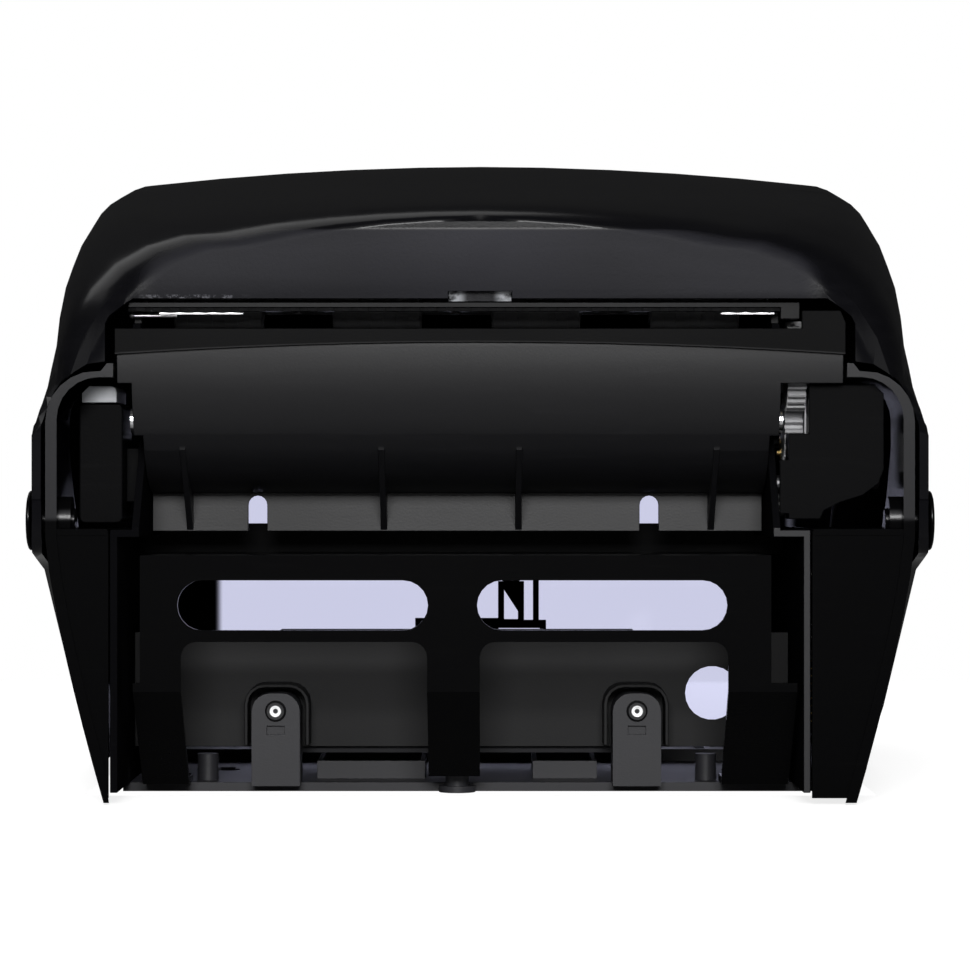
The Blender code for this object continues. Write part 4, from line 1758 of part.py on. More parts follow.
def latch_plate():
    """Bracket at the top of the back plate whose loop and lip the lock hooks behind."""
    low, high = LATCH_HEIGHT, LATCH_HEIGHT + LATCH_WALL
    wall = LATCH_LOOP_WALL
    loop_left, loop_right = LATCH_X - LATCH_LOOP_HALF, LATCH_X + LATCH_LOOP_HALF
    rear = -PLATE_WALL - RIB_DEPTH - AIR
    window = rectangle((LATCH_LEFT + wall, LATCH_RIGHT - wall), (-LATCH_BAR_REAR, rear - LATCH_FOOT_WALL - wall))
    outline = rectangle((LATCH_LEFT, LATCH_RIGHT), (-LATCH_BAR_FRONT, rear))
    plate = prism("latch_plate", PLAN, [outline, window], low, high)
    levels = (low + AIR, high - AIR)
    bar_middle = -(LATCH_BAR_FRONT + LATCH_BAR_REAR) / 2
    hole = rectangle((loop_left + wall, loop_right - wall), (-LATCH_LOOP_FRONT + wall, -LATCH_BAR_FRONT - AIR))
    loop = prism("latch_loop", PLAN, [rectangle((loop_left, loop_right), (-LATCH_LOOP_FRONT, bar_middle)), hole],
                 *levels)
    guide = box("latch_guide", LATCH_GUIDE, (-LATCH_GUIDE_FRONT, bar_middle), levels)
    lip = box("latch_lip", (loop_left + wall, loop_right - wall),
              (-LATCH_LOOP_FRONT + AIR, -LATCH_LOOP_FRONT + wall - AIR), (low - LATCH_LIP_DROP, low + wall / 2))
    foot = box("latch_foot", (LATCH_LEFT + AIR, LATCH_RIGHT - AIR), (rear - LATCH_FOOT_WALL, rear - AIR),
               (high - LATCH_FOOT_HEIGHT, low + wall / 2))
    fuse(plate, loop, guide, lip, foot)
    return place(plate, "matte_black")


def cover_lock():
    """Key barrel in the cover's top and its cam, unlocked, which turns behind the latch plate's lip."""
    centre = (LATCH_X, -LOCK_DEPTH)
    origin = (LATCH_X, -LOCK_DEPTH, BODY_HEIGHT)
    bottom = BODY_HEIGHT - LOCK_BARREL_LENGTH
    barrel = cylinder("lock_barrel", PLAN, centre, LOCK_RADIUS, bottom, BODY_HEIGHT, 32)
    cut(barrel, box("key_slot", (LATCH_X - KEY_SLOT[0] / 2, LATCH_X + KEY_SLOT[0] / 2),
                    (-LOCK_DEPTH - KEY_SLOT[1] / 2, -LOCK_DEPTH + KEY_SLOT[1] / 2),
                    (BODY_HEIGHT - KEY_SLOT_DEPTH, BODY_HEIGHT + OVERRUN)))
    place(barrel, "steel", origin)
    cam = cylinder("lock_cam", PLAN, centre, LOCK_STEM_RADIUS, LOCK_ARM_HEIGHTS[0], bottom - AIR, 16)
    arm = box("cam_arm", (LATCH_X, LATCH_X + LOCK_ARM_LENGTH),
              (-LOCK_DEPTH - LOCK_ARM_HALF, -LOCK_DEPTH + LOCK_ARM_HALF), LOCK_ARM_HEIGHTS)
    tip = cylinder("cam_tip", PLAN, (LATCH_X + LOCK_ARM_LENGTH - LOCK_TIP_RADIUS - BITE, -LOCK_DEPTH),
                   LOCK_TIP_RADIUS, LOCK_ARM_HEIGHTS[0] + BITE, LOCK_TIP_TOP, 12)
    fuse(cam, arm, tip)
    place(cam, "dark_steel", origin)


def build():
    """Every piece of the dispenser."""
    cover_shell()
    hinge_pin("hinge_pin_left", -1)
    hinge_pin("hinge_pin_right", 1)
    side_housing("left_housing", -1)
    side_housing("right_housing", 1)
    partition("left_partition", -1)
    partition("right_partition", 1)
    belly_panel()
    slotted_tray()
    back_plate()
    floor_panel()
    floor_screw("floor_screw_left", TAB_X[0])
    floor_screw("floor_screw_right", TAB_X[1])
    feed_frame("feed_frame_left", -1)
    feed_frame("feed_frame_right", 1)
    drive_shaft()
    drive_sleeve()
    shaft_bush("shaft_bush_left", -1, BAY_LEFT)
    shaft_bush("shaft_bush_right", 1, BAY_RIGHT)
    pinch_roller()
    pinch_carrier("pinch_carrier_left", -1, LEFT_OUTER)
    pinch_carrier("pinch_carrier_right", 1, RIGHT_OUTER)
    pinch_spring("pinch_spring_left", -1, LEFT_OUTER)
    pinch_spring("pinch_spring_right", 1, RIGHT_OUTER)
    tie_rod()
    transfer_bar()
    front_rail()
    tear_bar()
    sensor()
    paper_springs()
    gears()
    gear_plate()
    feed_motor()
    gearbox_case()
    power_module()
    roll_arms()
    roll_hub("roll_hub_left", ARM_LEFT_FACE, 1)
    roll_hub("roll_hub_right", ARM_RIGHT_FACE, -1)
    arm_hardware()
    battery_box()
    battery_door()
    battery_contacts()
    circuit_board()
    control_box()
    latch_plate()
    cover_lock()


build()
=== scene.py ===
# %% [markdown]
# # Hands-free roll towel dispenser, seen from underneath
#
# The real thing hangs on a washroom wall.  Here it is looked at from below, along the paper's way
# out, so that the rounded cover, the belly of the roll compartment, the slotted tray and the two
# closed pods beside it all show.  The measured parts come ready from CAD, and this script gives
# them finishes, soft edges and the small things that repeat, because a moving part has to keep its
# exact shape and place.  Lengths are metres, +Z is up and +Y points into the wall.

# %% Load the measured frame
import json
import math

import bmesh
import bpy
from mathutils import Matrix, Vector

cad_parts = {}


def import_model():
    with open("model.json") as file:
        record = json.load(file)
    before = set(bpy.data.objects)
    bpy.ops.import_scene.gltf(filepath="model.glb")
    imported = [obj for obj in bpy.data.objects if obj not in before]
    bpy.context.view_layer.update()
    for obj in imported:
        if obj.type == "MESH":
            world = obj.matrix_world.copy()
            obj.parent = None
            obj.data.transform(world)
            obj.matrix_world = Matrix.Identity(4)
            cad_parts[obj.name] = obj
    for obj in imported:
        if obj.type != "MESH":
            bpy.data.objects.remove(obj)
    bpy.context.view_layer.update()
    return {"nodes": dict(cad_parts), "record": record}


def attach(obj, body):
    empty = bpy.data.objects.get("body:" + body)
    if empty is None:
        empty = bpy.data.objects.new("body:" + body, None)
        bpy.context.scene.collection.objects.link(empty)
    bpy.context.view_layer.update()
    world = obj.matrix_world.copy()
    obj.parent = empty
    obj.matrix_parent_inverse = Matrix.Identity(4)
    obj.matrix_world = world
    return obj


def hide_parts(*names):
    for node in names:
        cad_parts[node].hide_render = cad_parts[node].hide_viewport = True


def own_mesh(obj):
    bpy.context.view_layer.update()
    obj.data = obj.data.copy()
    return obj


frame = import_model()

# %% [markdown]
# ## Sums in a material
#
# Shader maths is a graph of nodes, and a long sum drawn as nodes is hard to read.  A small class
# wraps one output socket and overloads Python's operators, so that an ordinary expression adds the
# Math nodes by itself.  One method, `add`, makes any other node.  A text-only language would do
# without it, but here `1 - mask` stays as short as it is on paper.

# %% A value that flows through nodes


class Flow:
    """One output socket, with which sums can be written."""

    def __init__(self, wiring, socket):
        self.wiring = wiring
        self.socket = socket

    def sum(self, operation, first, second):
        """A Math node between two numbers or sockets."""
        return self.wiring.add("ShaderNodeMath", {"operation": operation}, {0: first, 1: second})

    def __add__(self, other):
        return self.sum("ADD", self, other)

    def __radd__(self, other):
        return self.sum("ADD", other, self)

    def __sub__(self, other):
        return self.sum("SUBTRACT", self, other)

    def __rsub__(self, other):
        return self.sum("SUBTRACT", other, self)

    def __mul__(self, other):
        return self.sum("MULTIPLY", self, other)

    def __rmul__(self, other):
        return self.sum("MULTIPLY", other, self)

    def __abs__(self):
        return self.sum("ABSOLUTE", self, 0.0)

    def __or__(self, other):
        """The larger of two masks."""
        return self.sum("MAXIMUM", self, other)


class Wiring:
    """A node tree in the making."""

    def __init__(self, tree):
        self.tree = tree

    def add(self, kind, settings=None, inputs=None, output=0):
        """A node of any kind: its settings first, then its sockets' values or links."""
        node = self.tree.nodes.new(kind)
        for name, value in (settings or {}).items():
            setattr(node, name, value)
        for key, value in (inputs or {}).items():
            socket = node.inputs[key]
            if isinstance(value, Flow):
                self.tree.links.new(value.socket, socket)
            else:
                socket.default_value = value
        return Flow(self, node.outputs[output])

    def ramp(self, value, low, high):
        """0 below low and 1 above high, with a soft start and end; low may be the larger."""
        limits = {"Value": value, "From Min": low, "From Max": high}
        if low > high:
            limits.update({"From Min": high, "From Max": low, "To Min": 1.0, "To Max": 0.0})
        return self.add("ShaderNodeMapRange", {"interpolation_type": "SMOOTHSTEP"}, limits)

    def band(self, value, low, high, soft):
        """1 between low and high, fading to 0 over soft on either side."""
        return self.ramp(value, low - soft, low) * self.ramp(value, high + soft, high)

    def colour(self, factor, first, second):
        """The first colour where the factor is 0 and the second where it is 1."""
        inputs = {0: factor, 6: first if isinstance(first, Flow) else (*first, 1.0),
                  7: second if isinstance(second, Flow) else (*second, 1.0)}
        return self.add("ShaderNodeMix", {"data_type": "RGBA"}, inputs, output=2)

    def mixed(self, factor, first, second):
        """One shader where the factor is 0 and another where it is 1."""
        return self.add("ShaderNodeMixShader", None, {0: factor, 1: first, 2: second})

    def noise(self, place, scale, detail=3.0, rough=0.5):
        inputs = {"Vector": place, "Scale": scale, "Detail": detail, "Roughness": rough}
        return self.add("ShaderNodeTexNoise", None, inputs)

    def stretched(self, place, scale):
        return self.add("ShaderNodeMapping", None, {"Vector": place, "Scale": scale})


print("ready: sums on sockets, masks, colours, noise")

# %% [markdown]
# ## The start and the end of a material
#
# Every finish begins with an empty node tree and the place in metres, and ends in a principled
# shader.  The place comes from Object coordinates, so a pattern keeps its real size and stays on
# the piece when a joint moves it.  Generated coordinates would stretch it with the piece instead.
# Where the gloss differs over a surface, two shaders are mixed by a mask, because the specular
# level only survives the export as one plain number on each shader.

# %% Starting and ending a material


def new_material(name):
    """An empty material, its wiring and the place in metres."""
    material = bpy.data.materials.new(name)
    material.use_nodes = True
    material.node_tree.nodes.clear()
    wiring = Wiring(material.node_tree)
    place = wiring.add("ShaderNodeTexCoord", None, None, output=3)
    return material, wiring, place


def finish_material(material, wiring, sockets, bump=None, bump_depth=0.0002, strength=0.5,
                    other_gloss=None):
    """Sets the principled shader's sockets, and a bump if there is one.

    other_gloss is a mask and the specular level where that mask is 1.
    """
    sockets = dict(sockets)
    if bump is not None:
        sockets["Normal"] = wiring.add("ShaderNodeBump", None, {
            "Height": bump, "Distance": bump_depth, "Strength": strength,
        })
    shader = wiring.add("ShaderNodeBsdfPrincipled", None, sockets)
    if other_gloss:
        mask, level = other_gloss
        sockets["Specular IOR Level"] = level
        other = wiring.add("ShaderNodeBsdfPrincipled", None, sockets)
        shader = wiring.mixed(mask, shader, other)
    show(wiring, shader)
    return material


def show(wiring, shader):
    """Ends a material in its output."""
    end = wiring.tree.nodes.new("ShaderNodeOutputMaterial")
    wiring.tree.links.new(shader.socket, end.inputs["Surface"])


def axes_of(wiring, vector):
    """The three parts of a vector."""
    node = wiring.add("ShaderNodeSeparateXYZ", None, {0: vector}).socket.node
    return [Flow(wiring, output) for output in node.outputs]


print("ready: a material's start and end")

# %% [markdown]
# ## Moulded plastic
#
# Nearly every part is black plastic from a mould.  What makes it look real is small: a spark-eroded
# grain, a slow change of sheen where the plastic flowed, and faint scuffs.  The grain is a bump and
# the scuffs lift the roughness and the colour a little.  One maker gives all the plastics, and each
# finish differs by its numbers alone.

# %% Plastics
LIP_REAR = -0.1495
LIP_CURVE = 0.27
# Painted highlight on faces that look down: extra sheen and a paler grey, as if lit.
LIT_RIM_SHEEN = 0.25
LIT_RIM_GREY = (0.010, 0.010, 0.0115)
LIP_BLACK = (0.001, 0.001, 0.001)
LIP_DULLING = 0.9


def plastic(name, colour, roughness, grain=1400.0, grain_depth=0.00004, scuffs=0.25, specular=0.12,
            lit_rim=None, lit_rim_rear=0.0, lip=False):
    """Moulded plastic with flow marks, fine grain and light scuffs.

    A lit rim is a painted highlight: faces that look down, in front of the given rear limit, turn
    a paler grey and glossier, as if lit.  A lip is the duller, darker band along the front edge of
    the belly.
    """
    material, wiring, place = new_material(name)
    flow = wiring.noise(place, 14.0, 2.0)
    streaks = wiring.noise(wiring.stretched(place, (30.0, 420.0, 420.0)), 1.0, 4.0, 0.6)
    fine = wiring.noise(place, grain, 2.0)
    worn = wiring.ramp(streaks, 0.56, 0.80) * scuffs
    pale = tuple(min(1.0, 0.004 + 2.2 * part) for part in colour)
    base = wiring.colour(worn, colour, pale)
    shade = tuple(0.72 * part for part in colour)
    base = wiring.colour(wiring.ramp(flow, 0.35, 0.70) * 0.6, base, shade)
    across, deep, _ = axes_of(wiring, place)
    other_gloss = None
    # Painted highlight: faces that look down are made paler and glossier, as if lit.
    if lit_rim:
        _, _, facing = axes_of(wiring, wiring.add("ShaderNodeTexCoord", None, None, output=1))
        edge = wiring.ramp(facing, -0.85, -0.97) * wiring.ramp(deep, lit_rim_rear + 0.002, lit_rim_rear)
        base = wiring.colour(edge, base, lit_rim)
        other_gloss = (edge, specular + LIT_RIM_SHEEN)
    if lip:
        front = wiring.ramp(deep - across * across * LIP_CURVE, LIP_REAR, LIP_REAR - 0.0015)
        base = wiring.colour(front * 0.8, base, LIP_BLACK)
        other_gloss = (front, specular * (1.0 - LIP_DULLING))
    return finish_material(material, wiring, {
        "Base Color": base,
        "Roughness": roughness + (flow - 0.5) * 0.14 + worn * 0.25,
        "Specular IOR Level": specular,
    }, fine, grain_depth, 0.6, other_gloss)


print("maker ready: moulded plastic")

# %% [markdown]
# ## The plastics in use
#
# The belly is a satin black with a darker front lip, the pods and the tray are smooth, the back
# plate is a plain dull black, and only the gears, cap, button and switch are pale.  Each could be
# a material of its own, drawn by hand.  One maker with other numbers is shorter, and keeps the
# grain and scuffs alike, as they are on parts from one moulder.

# %% The plastic finishes
POCKET_REAR = -0.0935
belly_black = plastic("belly_black", (0.0055, 0.0055, 0.0065), 0.46, specular=0.36, lip=True)
plate_black = plastic("plate_black", (0.018, 0.018, 0.021), 0.50, specular=0.30)
frame_black = plastic("frame_black", (0.003, 0.003, 0.0035), 0.50, specular=0.0)
floor_black = plastic("floor_black", (0.005, 0.005, 0.0055), 0.55, specular=0.18)
# The pods' downward faces in front of POCKET_REAR carry the painted highlight.
pod_black = plastic("pod_black", (0.0016, 0.0016, 0.0018), 0.24, 900.0, 0.00001, 0.10, 0.02,
                    LIT_RIM_GREY, POCKET_REAR)
# The right partition's downward faces carry the painted highlight, paler and glossier.
lit_edge_grey = plastic("lit_edge_grey", (0.003, 0.003, 0.0035), 0.50, specular=0.0, lit_rim=LIT_RIM_GREY)
tray_black = plastic("tray_black", (0.0018, 0.0018, 0.0020), 0.24, 900.0, 0.00001, 0.12, 0.02)
box_black = plastic("box_black", (0.010, 0.010, 0.012), 0.55)
case_black = plastic("case_black", (0.0025, 0.0025, 0.0028), 0.36, specular=0.02)
wire_blue = plastic("wire_blue", (0.010, 0.014, 0.040), 0.4, specular=0.3)
wire_black = plastic("wire_black", (0.010, 0.010, 0.010), 0.4, specular=0.5)
hub_black = plastic("hub_black", (0.014, 0.014, 0.016), 0.25)
nylon_white = plastic("nylon_white", (0.30, 0.30, 0.31), 0.42, 700.0, 0.00003, 0.1, 0.3)
button_grey = plastic("button_grey", (0.34, 0.35, 0.37), 0.5, 1200.0, 0.00005, 0.1, 0.5)
switch_white = plastic("switch_white", (0.72, 0.73, 0.71), 0.35, 900.0, 0.00002, 0.1, 0.5)
print("plastics:", len(bpy.data.materials))

# %% [markdown]
# ## The smoke cover
#
# The cover is dark smoke plastic.  Its underside beside the paper slot has a coarse matte texture
# that reads as grey, lighter down its middle as a painted highlight, the curved band round it is
# smooth and nearly black, and daylight comes through its thin roof with a lavender tint.  One
# material holds all three: two masks made from the place choose colour and roughness, and a third
# mixes in a clear tinted shader at the roof.  The inside of the walls gets a plain dull shader
# without gloss, painted shade that keeps the compartment dark.

# %% Cover
UNDERSIDE_Z = -0.205
TEXTURE_HALF_WIDTH = 0.104
TEXTURE_DEPTHS = (-0.1865, -0.1640)
ROOF_Z = 0.100
ROOF_FRONT = -0.140
ROOF_RIBS = (0.112, 0.126)
ROOF_HALF_WIDTH = 0.135
PIVOT_Y = -0.092
CHIP_DEPTHS = (-0.1655, -0.1636)
CHIP_SPAN = (-0.117, -0.085)
CHIP_GREY = (0.16, 0.16, 0.18)
TEXTURE_GREYS = (0.004, 0.004, 0.005), (0.018, 0.018, 0.023)
SMOOTH_BLACKS = (0.0032, 0.0032, 0.0040), (0.005, 0.005, 0.006)
SMOOTH_GLOSS, TEXTURE_GLOSS = 0.10, 0.16
SMOKE_TINT = (0.66, 0.67, 0.87, 1.0)
# Painted shade: the inside of the walls is a dull black without gloss, so the compartment stays
# dark.
INSIDE_SHADE_BLACK = (0.004, 0.004, 0.005, 1.0)


def cover_material():
    """Textured underside with painted highlight, smooth walls, painted-shade inside, clear roof."""
    material, wiring, place = new_material("smoke_cover")
    across, deep, height = axes_of(wiring, place)
    normal = wiring.add("ShaderNodeTexCoord", None, None, output=1)
    side, front, facing = axes_of(wiring, normal)
    underneath = wiring.ramp(height, UNDERSIDE_Z + 0.006, UNDERSIDE_Z + 0.0015)
    patch = underneath * wiring.ramp(abs(across), TEXTURE_HALF_WIDTH + 0.010, TEXTURE_HALF_WIDTH)
    patch = patch * wiring.band(deep, *TEXTURE_DEPTHS, 0.0012)
    blotches = wiring.noise(place, 60.0, 4.0, 0.6)
    streaks = wiring.noise(wiring.stretched(place, (12.0, 330.0, 60.0)), 1.0, 5.0, 0.65)
    fine = wiring.noise(place, 1100.0, 3.0)
    # Painted highlight: the textured grey is lighter down the middle of the underside, where light
    # falls.
    middle = wiring.ramp(abs(across), 0.045, 0.0)
    light = 0.55 + 0.45 * middle + (blotches - 0.5) * 0.35 + (streaks - 0.5) * 0.3
    grey = wiring.colour(light, *TEXTURE_GREYS)
    chips = wiring.band(deep, *CHIP_DEPTHS, 0.0005) * underneath
    chips = chips * wiring.band(across, *CHIP_SPAN, 0.012)
    chips = chips * wiring.ramp(wiring.noise(place, 700.0, 3.0, 0.7), 0.50, 0.62)
    grey = wiring.colour(chips, grey, CHIP_GREY)
    smooth = wiring.colour(wiring.ramp(streaks, 0.4, 0.9), *SMOOTH_BLACKS)
    base = wiring.colour(patch, smooth, grey)
    bump = wiring.add("ShaderNodeBump", None, {
        "Height": fine * (patch * 0.9 + 0.1), "Distance": 0.0002, "Strength": 0.6,
    })
    rough = 0.20 + patch * 0.42 + (blotches - 0.5) * 0.06
    opaque = wiring.mixed(patch, *(
        wiring.add("ShaderNodeBsdfPrincipled", None, {
            "Base Color": base, "Roughness": rough, "Normal": bump, "Specular IOR Level": gloss,
        }) for gloss in (SMOOTH_GLOSS, TEXTURE_GLOSS)
    ))
    clear = wiring.add("ShaderNodeBsdfPrincipled", None, {
        "Base Color": SMOKE_TINT,
        "Roughness": 0.06,
        "Transmission Weight": 1.0,
        "IOR": 1.30,
    })
    roof = wiring.ramp(height, ROOF_Z, ROOF_Z + 0.05) * wiring.ramp(abs(facing), 0.45, 0.75)
    roof = roof * wiring.ramp(deep, ROOF_FRONT, ROOF_FRONT + 0.015)
    roof = roof * (1.0 - wiring.band(abs(across), *ROOF_RIBS, 0.004))
    roof = roof * wiring.ramp(abs(across), ROOF_HALF_WIDTH + 0.006, ROOF_HALF_WIDTH)
    # Painted shade: the inside of the walls gets a dull shader without gloss.
    inside = wiring.ramp(across * side + (deep - PIVOT_Y) * front, 0.002, -0.002)
    dull = wiring.add("ShaderNodeBsdfDiffuse", None, {"Color": INSIDE_SHADE_BLACK})
    walls = wiring.mixed(inside, opaque, dull)
    show(wiring, wiring.mixed(roof, walls, clear))
    return material


smoke_cover = cover_material()
print("cover nodes:", len(smoke_cover.node_tree.nodes))

# %% [markdown]
# ## Metals
#
# The steel strips and shafts are ground along their length, so their roughness varies in long
# streaks.  A picture of scratches would do it too, but noise stretched along one axis needs no file
# and never repeats.

# %% Metals


def metal(name, colour, roughness, along=(12.0, 900.0, 900.0)):
    material, wiring, place = new_material(name)
    ground = wiring.noise(wiring.stretched(place, along), 1.0, 3.0)
    dull = tuple(0.6 * part for part in colour)
    spots = wiring.ramp(wiring.noise(place, 160.0, 4.0, 0.65), 0.55, 0.75)
    return finish_material(material, wiring, {
        "Base Color": wiring.colour(spots * 0.5, colour, dull),
        "Metallic": 1.0,
        "Roughness": roughness + (ground - 0.5) * 0.3 + spots * 0.12,
    }, ground, 0.00003, 0.4)


bright_steel = metal("bright_steel", (0.62, 0.62, 0.63), 0.30)
dark_steel = metal("dark_steel", (0.22, 0.22, 0.23), 0.42)
black_steel = metal("black_steel", (0.020, 0.020, 0.021), 0.50)
turned_brass = metal("turned_brass", (0.65, 0.47, 0.21), 0.28, (900.0, 30.0, 30.0))
print("metals: bright, dark and black steel, turned brass")

# %% [markdown]
# ## Roller rubber
#
# The feed rollers grip the paper with dull rubber that gathers paper dust.  Plain dark grey would
# look like plastic, so a soft noise lays a paler bloom over it, and a fine bump breaks the gloss.

# %% Rubber


def rubber_material():
    material, wiring, place = new_material("roller_rubber")
    bloom = wiring.noise(place, 90.0, 5.0, 0.7)
    return finish_material(material, wiring, {
        "Base Color": wiring.colour(bloom, (0.018, 0.018, 0.019), (0.060, 0.060, 0.062)),
        "Roughness": 0.70 + (bloom - 0.5) * 0.2,
        "Specular IOR Level": 0.3,
    }, wiring.noise(place, 1600.0, 2.0), 0.00008, 0.6)


roller_rubber = rubber_material()
print("rubber nodes:", len(roller_rubber.node_tree.nodes))

# %% [markdown]
# ## Circuit board
#
# The board is green lacquer over copper tracks.  Real tracks could be drawn one by one, but from a
# step away they read as a square pattern, which Voronoi cells measured by their longer side give.
# What stands up from the board, such as the plug, is told from it by its place.

# %% Circuit board
BOARD_FACE = 0.1097
PLUG_DEPTHS = (-0.0757, -0.0652)
PLUG_HEIGHTS = (-0.1051, -0.0915)


def board_material():
    material, wiring, place = new_material("board_green")
    cells = wiring.add("ShaderNodeTexVoronoi", {"distance": "CHEBYCHEV"},
                       {"Vector": place, "Scale": 210.0})
    tracks = wiring.band(cells, 0.22, 0.30, 0.02)
    pads = wiring.ramp(cells, 0.09, 0.06)
    across, deep, height = axes_of(wiring, place)
    raised = wiring.ramp(across, BOARD_FACE + 0.0001, BOARD_FACE + 0.0003)
    plug = wiring.band(deep, *PLUG_DEPTHS, 0.0002) * wiring.band(height, *PLUG_HEIGHTS, 0.0002)
    part = wiring.colour(plug, (0.011, 0.011, 0.012), (0.55, 0.54, 0.50))
    base = wiring.colour(tracks, (0.012, 0.085, 0.035), (0.030, 0.160, 0.070))
    base = wiring.colour(pads, base, (0.55, 0.50, 0.42))
    return finish_material(material, wiring, {
        "Base Color": wiring.colour(raised, base, part),
        "Metallic": pads * (1.0 - raised) * 0.8,
        "Roughness": 0.32 + pads * 0.1,
    }, tracks * (1.0 - raised), 0.00005, 0.4)


board_green = board_material()
print("board nodes:", len(board_green.node_tree.nodes))

# %% [markdown]
# ## Floor screws
#
# Two blackened screws hold the floor panel, and each has a painted highlight: a narrow ring of
# bright metal round its socket, where a glint would be.  The ring is too small to be worth a piece,
# so the material finds it: the distance from the nearer screw's middle picks out a narrow band,
# which turns to bright metal.

# %% Floor screws
SCREW_MIDDLE_X = -0.00805
SCREW_HALF_SPAN = 0.06075
SCREW_Y = -0.0277


def screw_material():
    """Blackened screws with a painted highlight: a bright metal ring round each socket."""
    material, wiring, place = new_material("black_screw")
    across, deep, _ = axes_of(wiring, place)
    from_middle = abs(across - SCREW_MIDDLE_X) - SCREW_HALF_SPAN
    from_row = deep - SCREW_Y
    square = from_middle * from_middle + from_row * from_row
    reach = square.sum("SQRT", square, 0.0)
    # Painted highlight: a narrow ring of bright metal round each socket, where a glint would be.
    glint_ring = wiring.band(reach, 0.0010, 0.0017, 0.0003)
    return finish_material(material, wiring, {
        "Base Color": wiring.colour(glint_ring, (0.012, 0.012, 0.013), (0.85, 0.85, 0.86)),
        "Metallic": 0.6 + glint_ring * 0.4,
        "Roughness": 0.42 - glint_ring * 0.1,
    })


black_screw = screw_material()
print("screw nodes:", len(black_screw.node_tree.nodes))

# %% [markdown]
# ## Sensor window
#
# A hand in front of the slot is seen through a small dark window, whose ends catch the light.  It
# could be real glass over a sensor.  Here it is a dark glossy plastic whose ends are painted paler,
# a painted highlight, which looks the same from outside and needs nothing behind it.

# %% Sensor window


def lens_material():
    material, wiring, place = new_material("sensor_window")
    haze = wiring.noise(place, 300.0, 3.0)
    across, _, _ = axes_of(wiring, place)
    # Painted highlight: the window's ends are paler, where they catch the light.
    lit = wiring.ramp(abs(across), 0.0040, 0.0075) * wiring.ramp(haze, 0.30, 0.55)
    return finish_material(material, wiring, {
        "Base Color": wiring.colour(lit, (0.012, 0.012, 0.014), (0.30, 0.31, 0.33)),
        "Roughness": 0.08 + haze * 0.1,
        "Coat Weight": 0.6,
    })


sensor_window = lens_material()
print("materials:", len(bpy.data.materials))

# %% [markdown]
# ## Which finish each part has
#
# The parts already have the right shapes, so most of them only get a finish.  A table keeps that
# short: each finish lists its parts.

# %% Dress the frame's nodes
FINISHES = {
    smoke_cover: "cover_shell",
    belly_black: "belly_panel",
    tray_black: "slotted_tray",
    pod_black: "left_housing right_housing hinge_pin_left hinge_pin_right",
    floor_black: "floor_panel front_rail",
    plate_black: "back_plate",
    lit_edge_grey: "right_partition",
    frame_black: """left_partition feed_frame_left feed_frame_right roll_arm_left
        roll_arm_right latch_plate control_box sensor_case pinch_carrier_left pinch_carrier_right
        transfer_bar""",
    box_black: "battery_box battery_door",
    case_black: "gearbox_case power_module",
    hub_black: "roll_hub_left roll_hub_right",
    nylon_white: "drive_gear idler_gear",
    button_grey: "power_module_cap feed_button",
    switch_white: "length_switch",
    black_screw: "floor_screw_left floor_screw_right",
    black_steel: "tear_bar",
    bright_steel: """drive_shaft pinch_shaft pinch_spring_left
        pinch_spring_right tie_rod paper_spring_left paper_spring_right arm_screw
        arm_pivot_pin arm_spring contact_link contact_negative contact_positive lock_barrel
        lock_cam""",
    dark_steel: "gear_plate feed_motor",
    turned_brass: "shaft_bush_left shaft_bush_right motor_pinion",
    roller_rubber: "drive_sleeve pinch_sleeve",
    board_green: "circuit_board",
    sensor_window: "sensor_lens",
}
BODY_OF = {
    node: body
    for body, nodes in frame["record"]["behaviour"]["bodies"].items() for node in nodes
}
finish_of = {node: finish for finish, nodes in FINISHES.items() for node in nodes.split()}
for node, part in frame["nodes"].items():
    part.data.materials.clear()
    part.data.materials.append(finish_of[node])
print("dressed:", len(finish_of), "of", len(frame["nodes"]))

# %% [markdown]
# ## Smooth, soft-edged copies
#
# The frame's meshes are loose flat triangles.  Real mouldings have rounded edges that catch the
# light, so a large visible part is copied, its doubles are merged, its flat areas are joined again
# and a narrow bevel is run along its sharp edges.  The copy then stands for the part.  The edges
# could be rounded in CAD, but they are too small to matter for fit, and a modifier does it for any
# part with one number.

# %% Soft edges
SHARP = math.radians(32)
FLAT = math.radians(0.5)
SAME_PLACE = 0.00001
BEVEL_STEPS = 2


def softened(node, width):
    """A merged copy of a frame node with smooth faces and bevelled sharp edges."""
    source = frame["nodes"][node]
    mesh = bmesh.new()
    mesh.from_mesh(source.data)
    bmesh.ops.remove_doubles(mesh, verts=mesh.verts, dist=SAME_PLACE)
    bmesh.ops.dissolve_limit(mesh, angle_limit=FLAT, verts=mesh.verts, edges=mesh.edges)
    data = bpy.data.meshes.new(node + "_shape")
    mesh.to_mesh(data)
    mesh.free()
    data.shade_smooth()
    data.set_sharp_from_angle(angle=SHARP)
    data.materials.append(finish_of[node])
    piece = bpy.data.objects.new(node + "_soft", data)
    bpy.context.scene.collection.objects.link(piece)
    if width:
        bevel = piece.modifiers.new("soft edges", "BEVEL")
        bevel.width = width
        bevel.segments = BEVEL_STEPS
        bevel.limit_method = "ANGLE"
        bevel.angle_limit = SHARP
        bevel.use_clamp_overlap = True
        bevel.harden_normals = True
    even = piece.modifiers.new("even shading", "WEIGHTED_NORMAL")
    even.keep_sharp = True
    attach(piece, BODY_OF[node])
    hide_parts(node)
    return piece


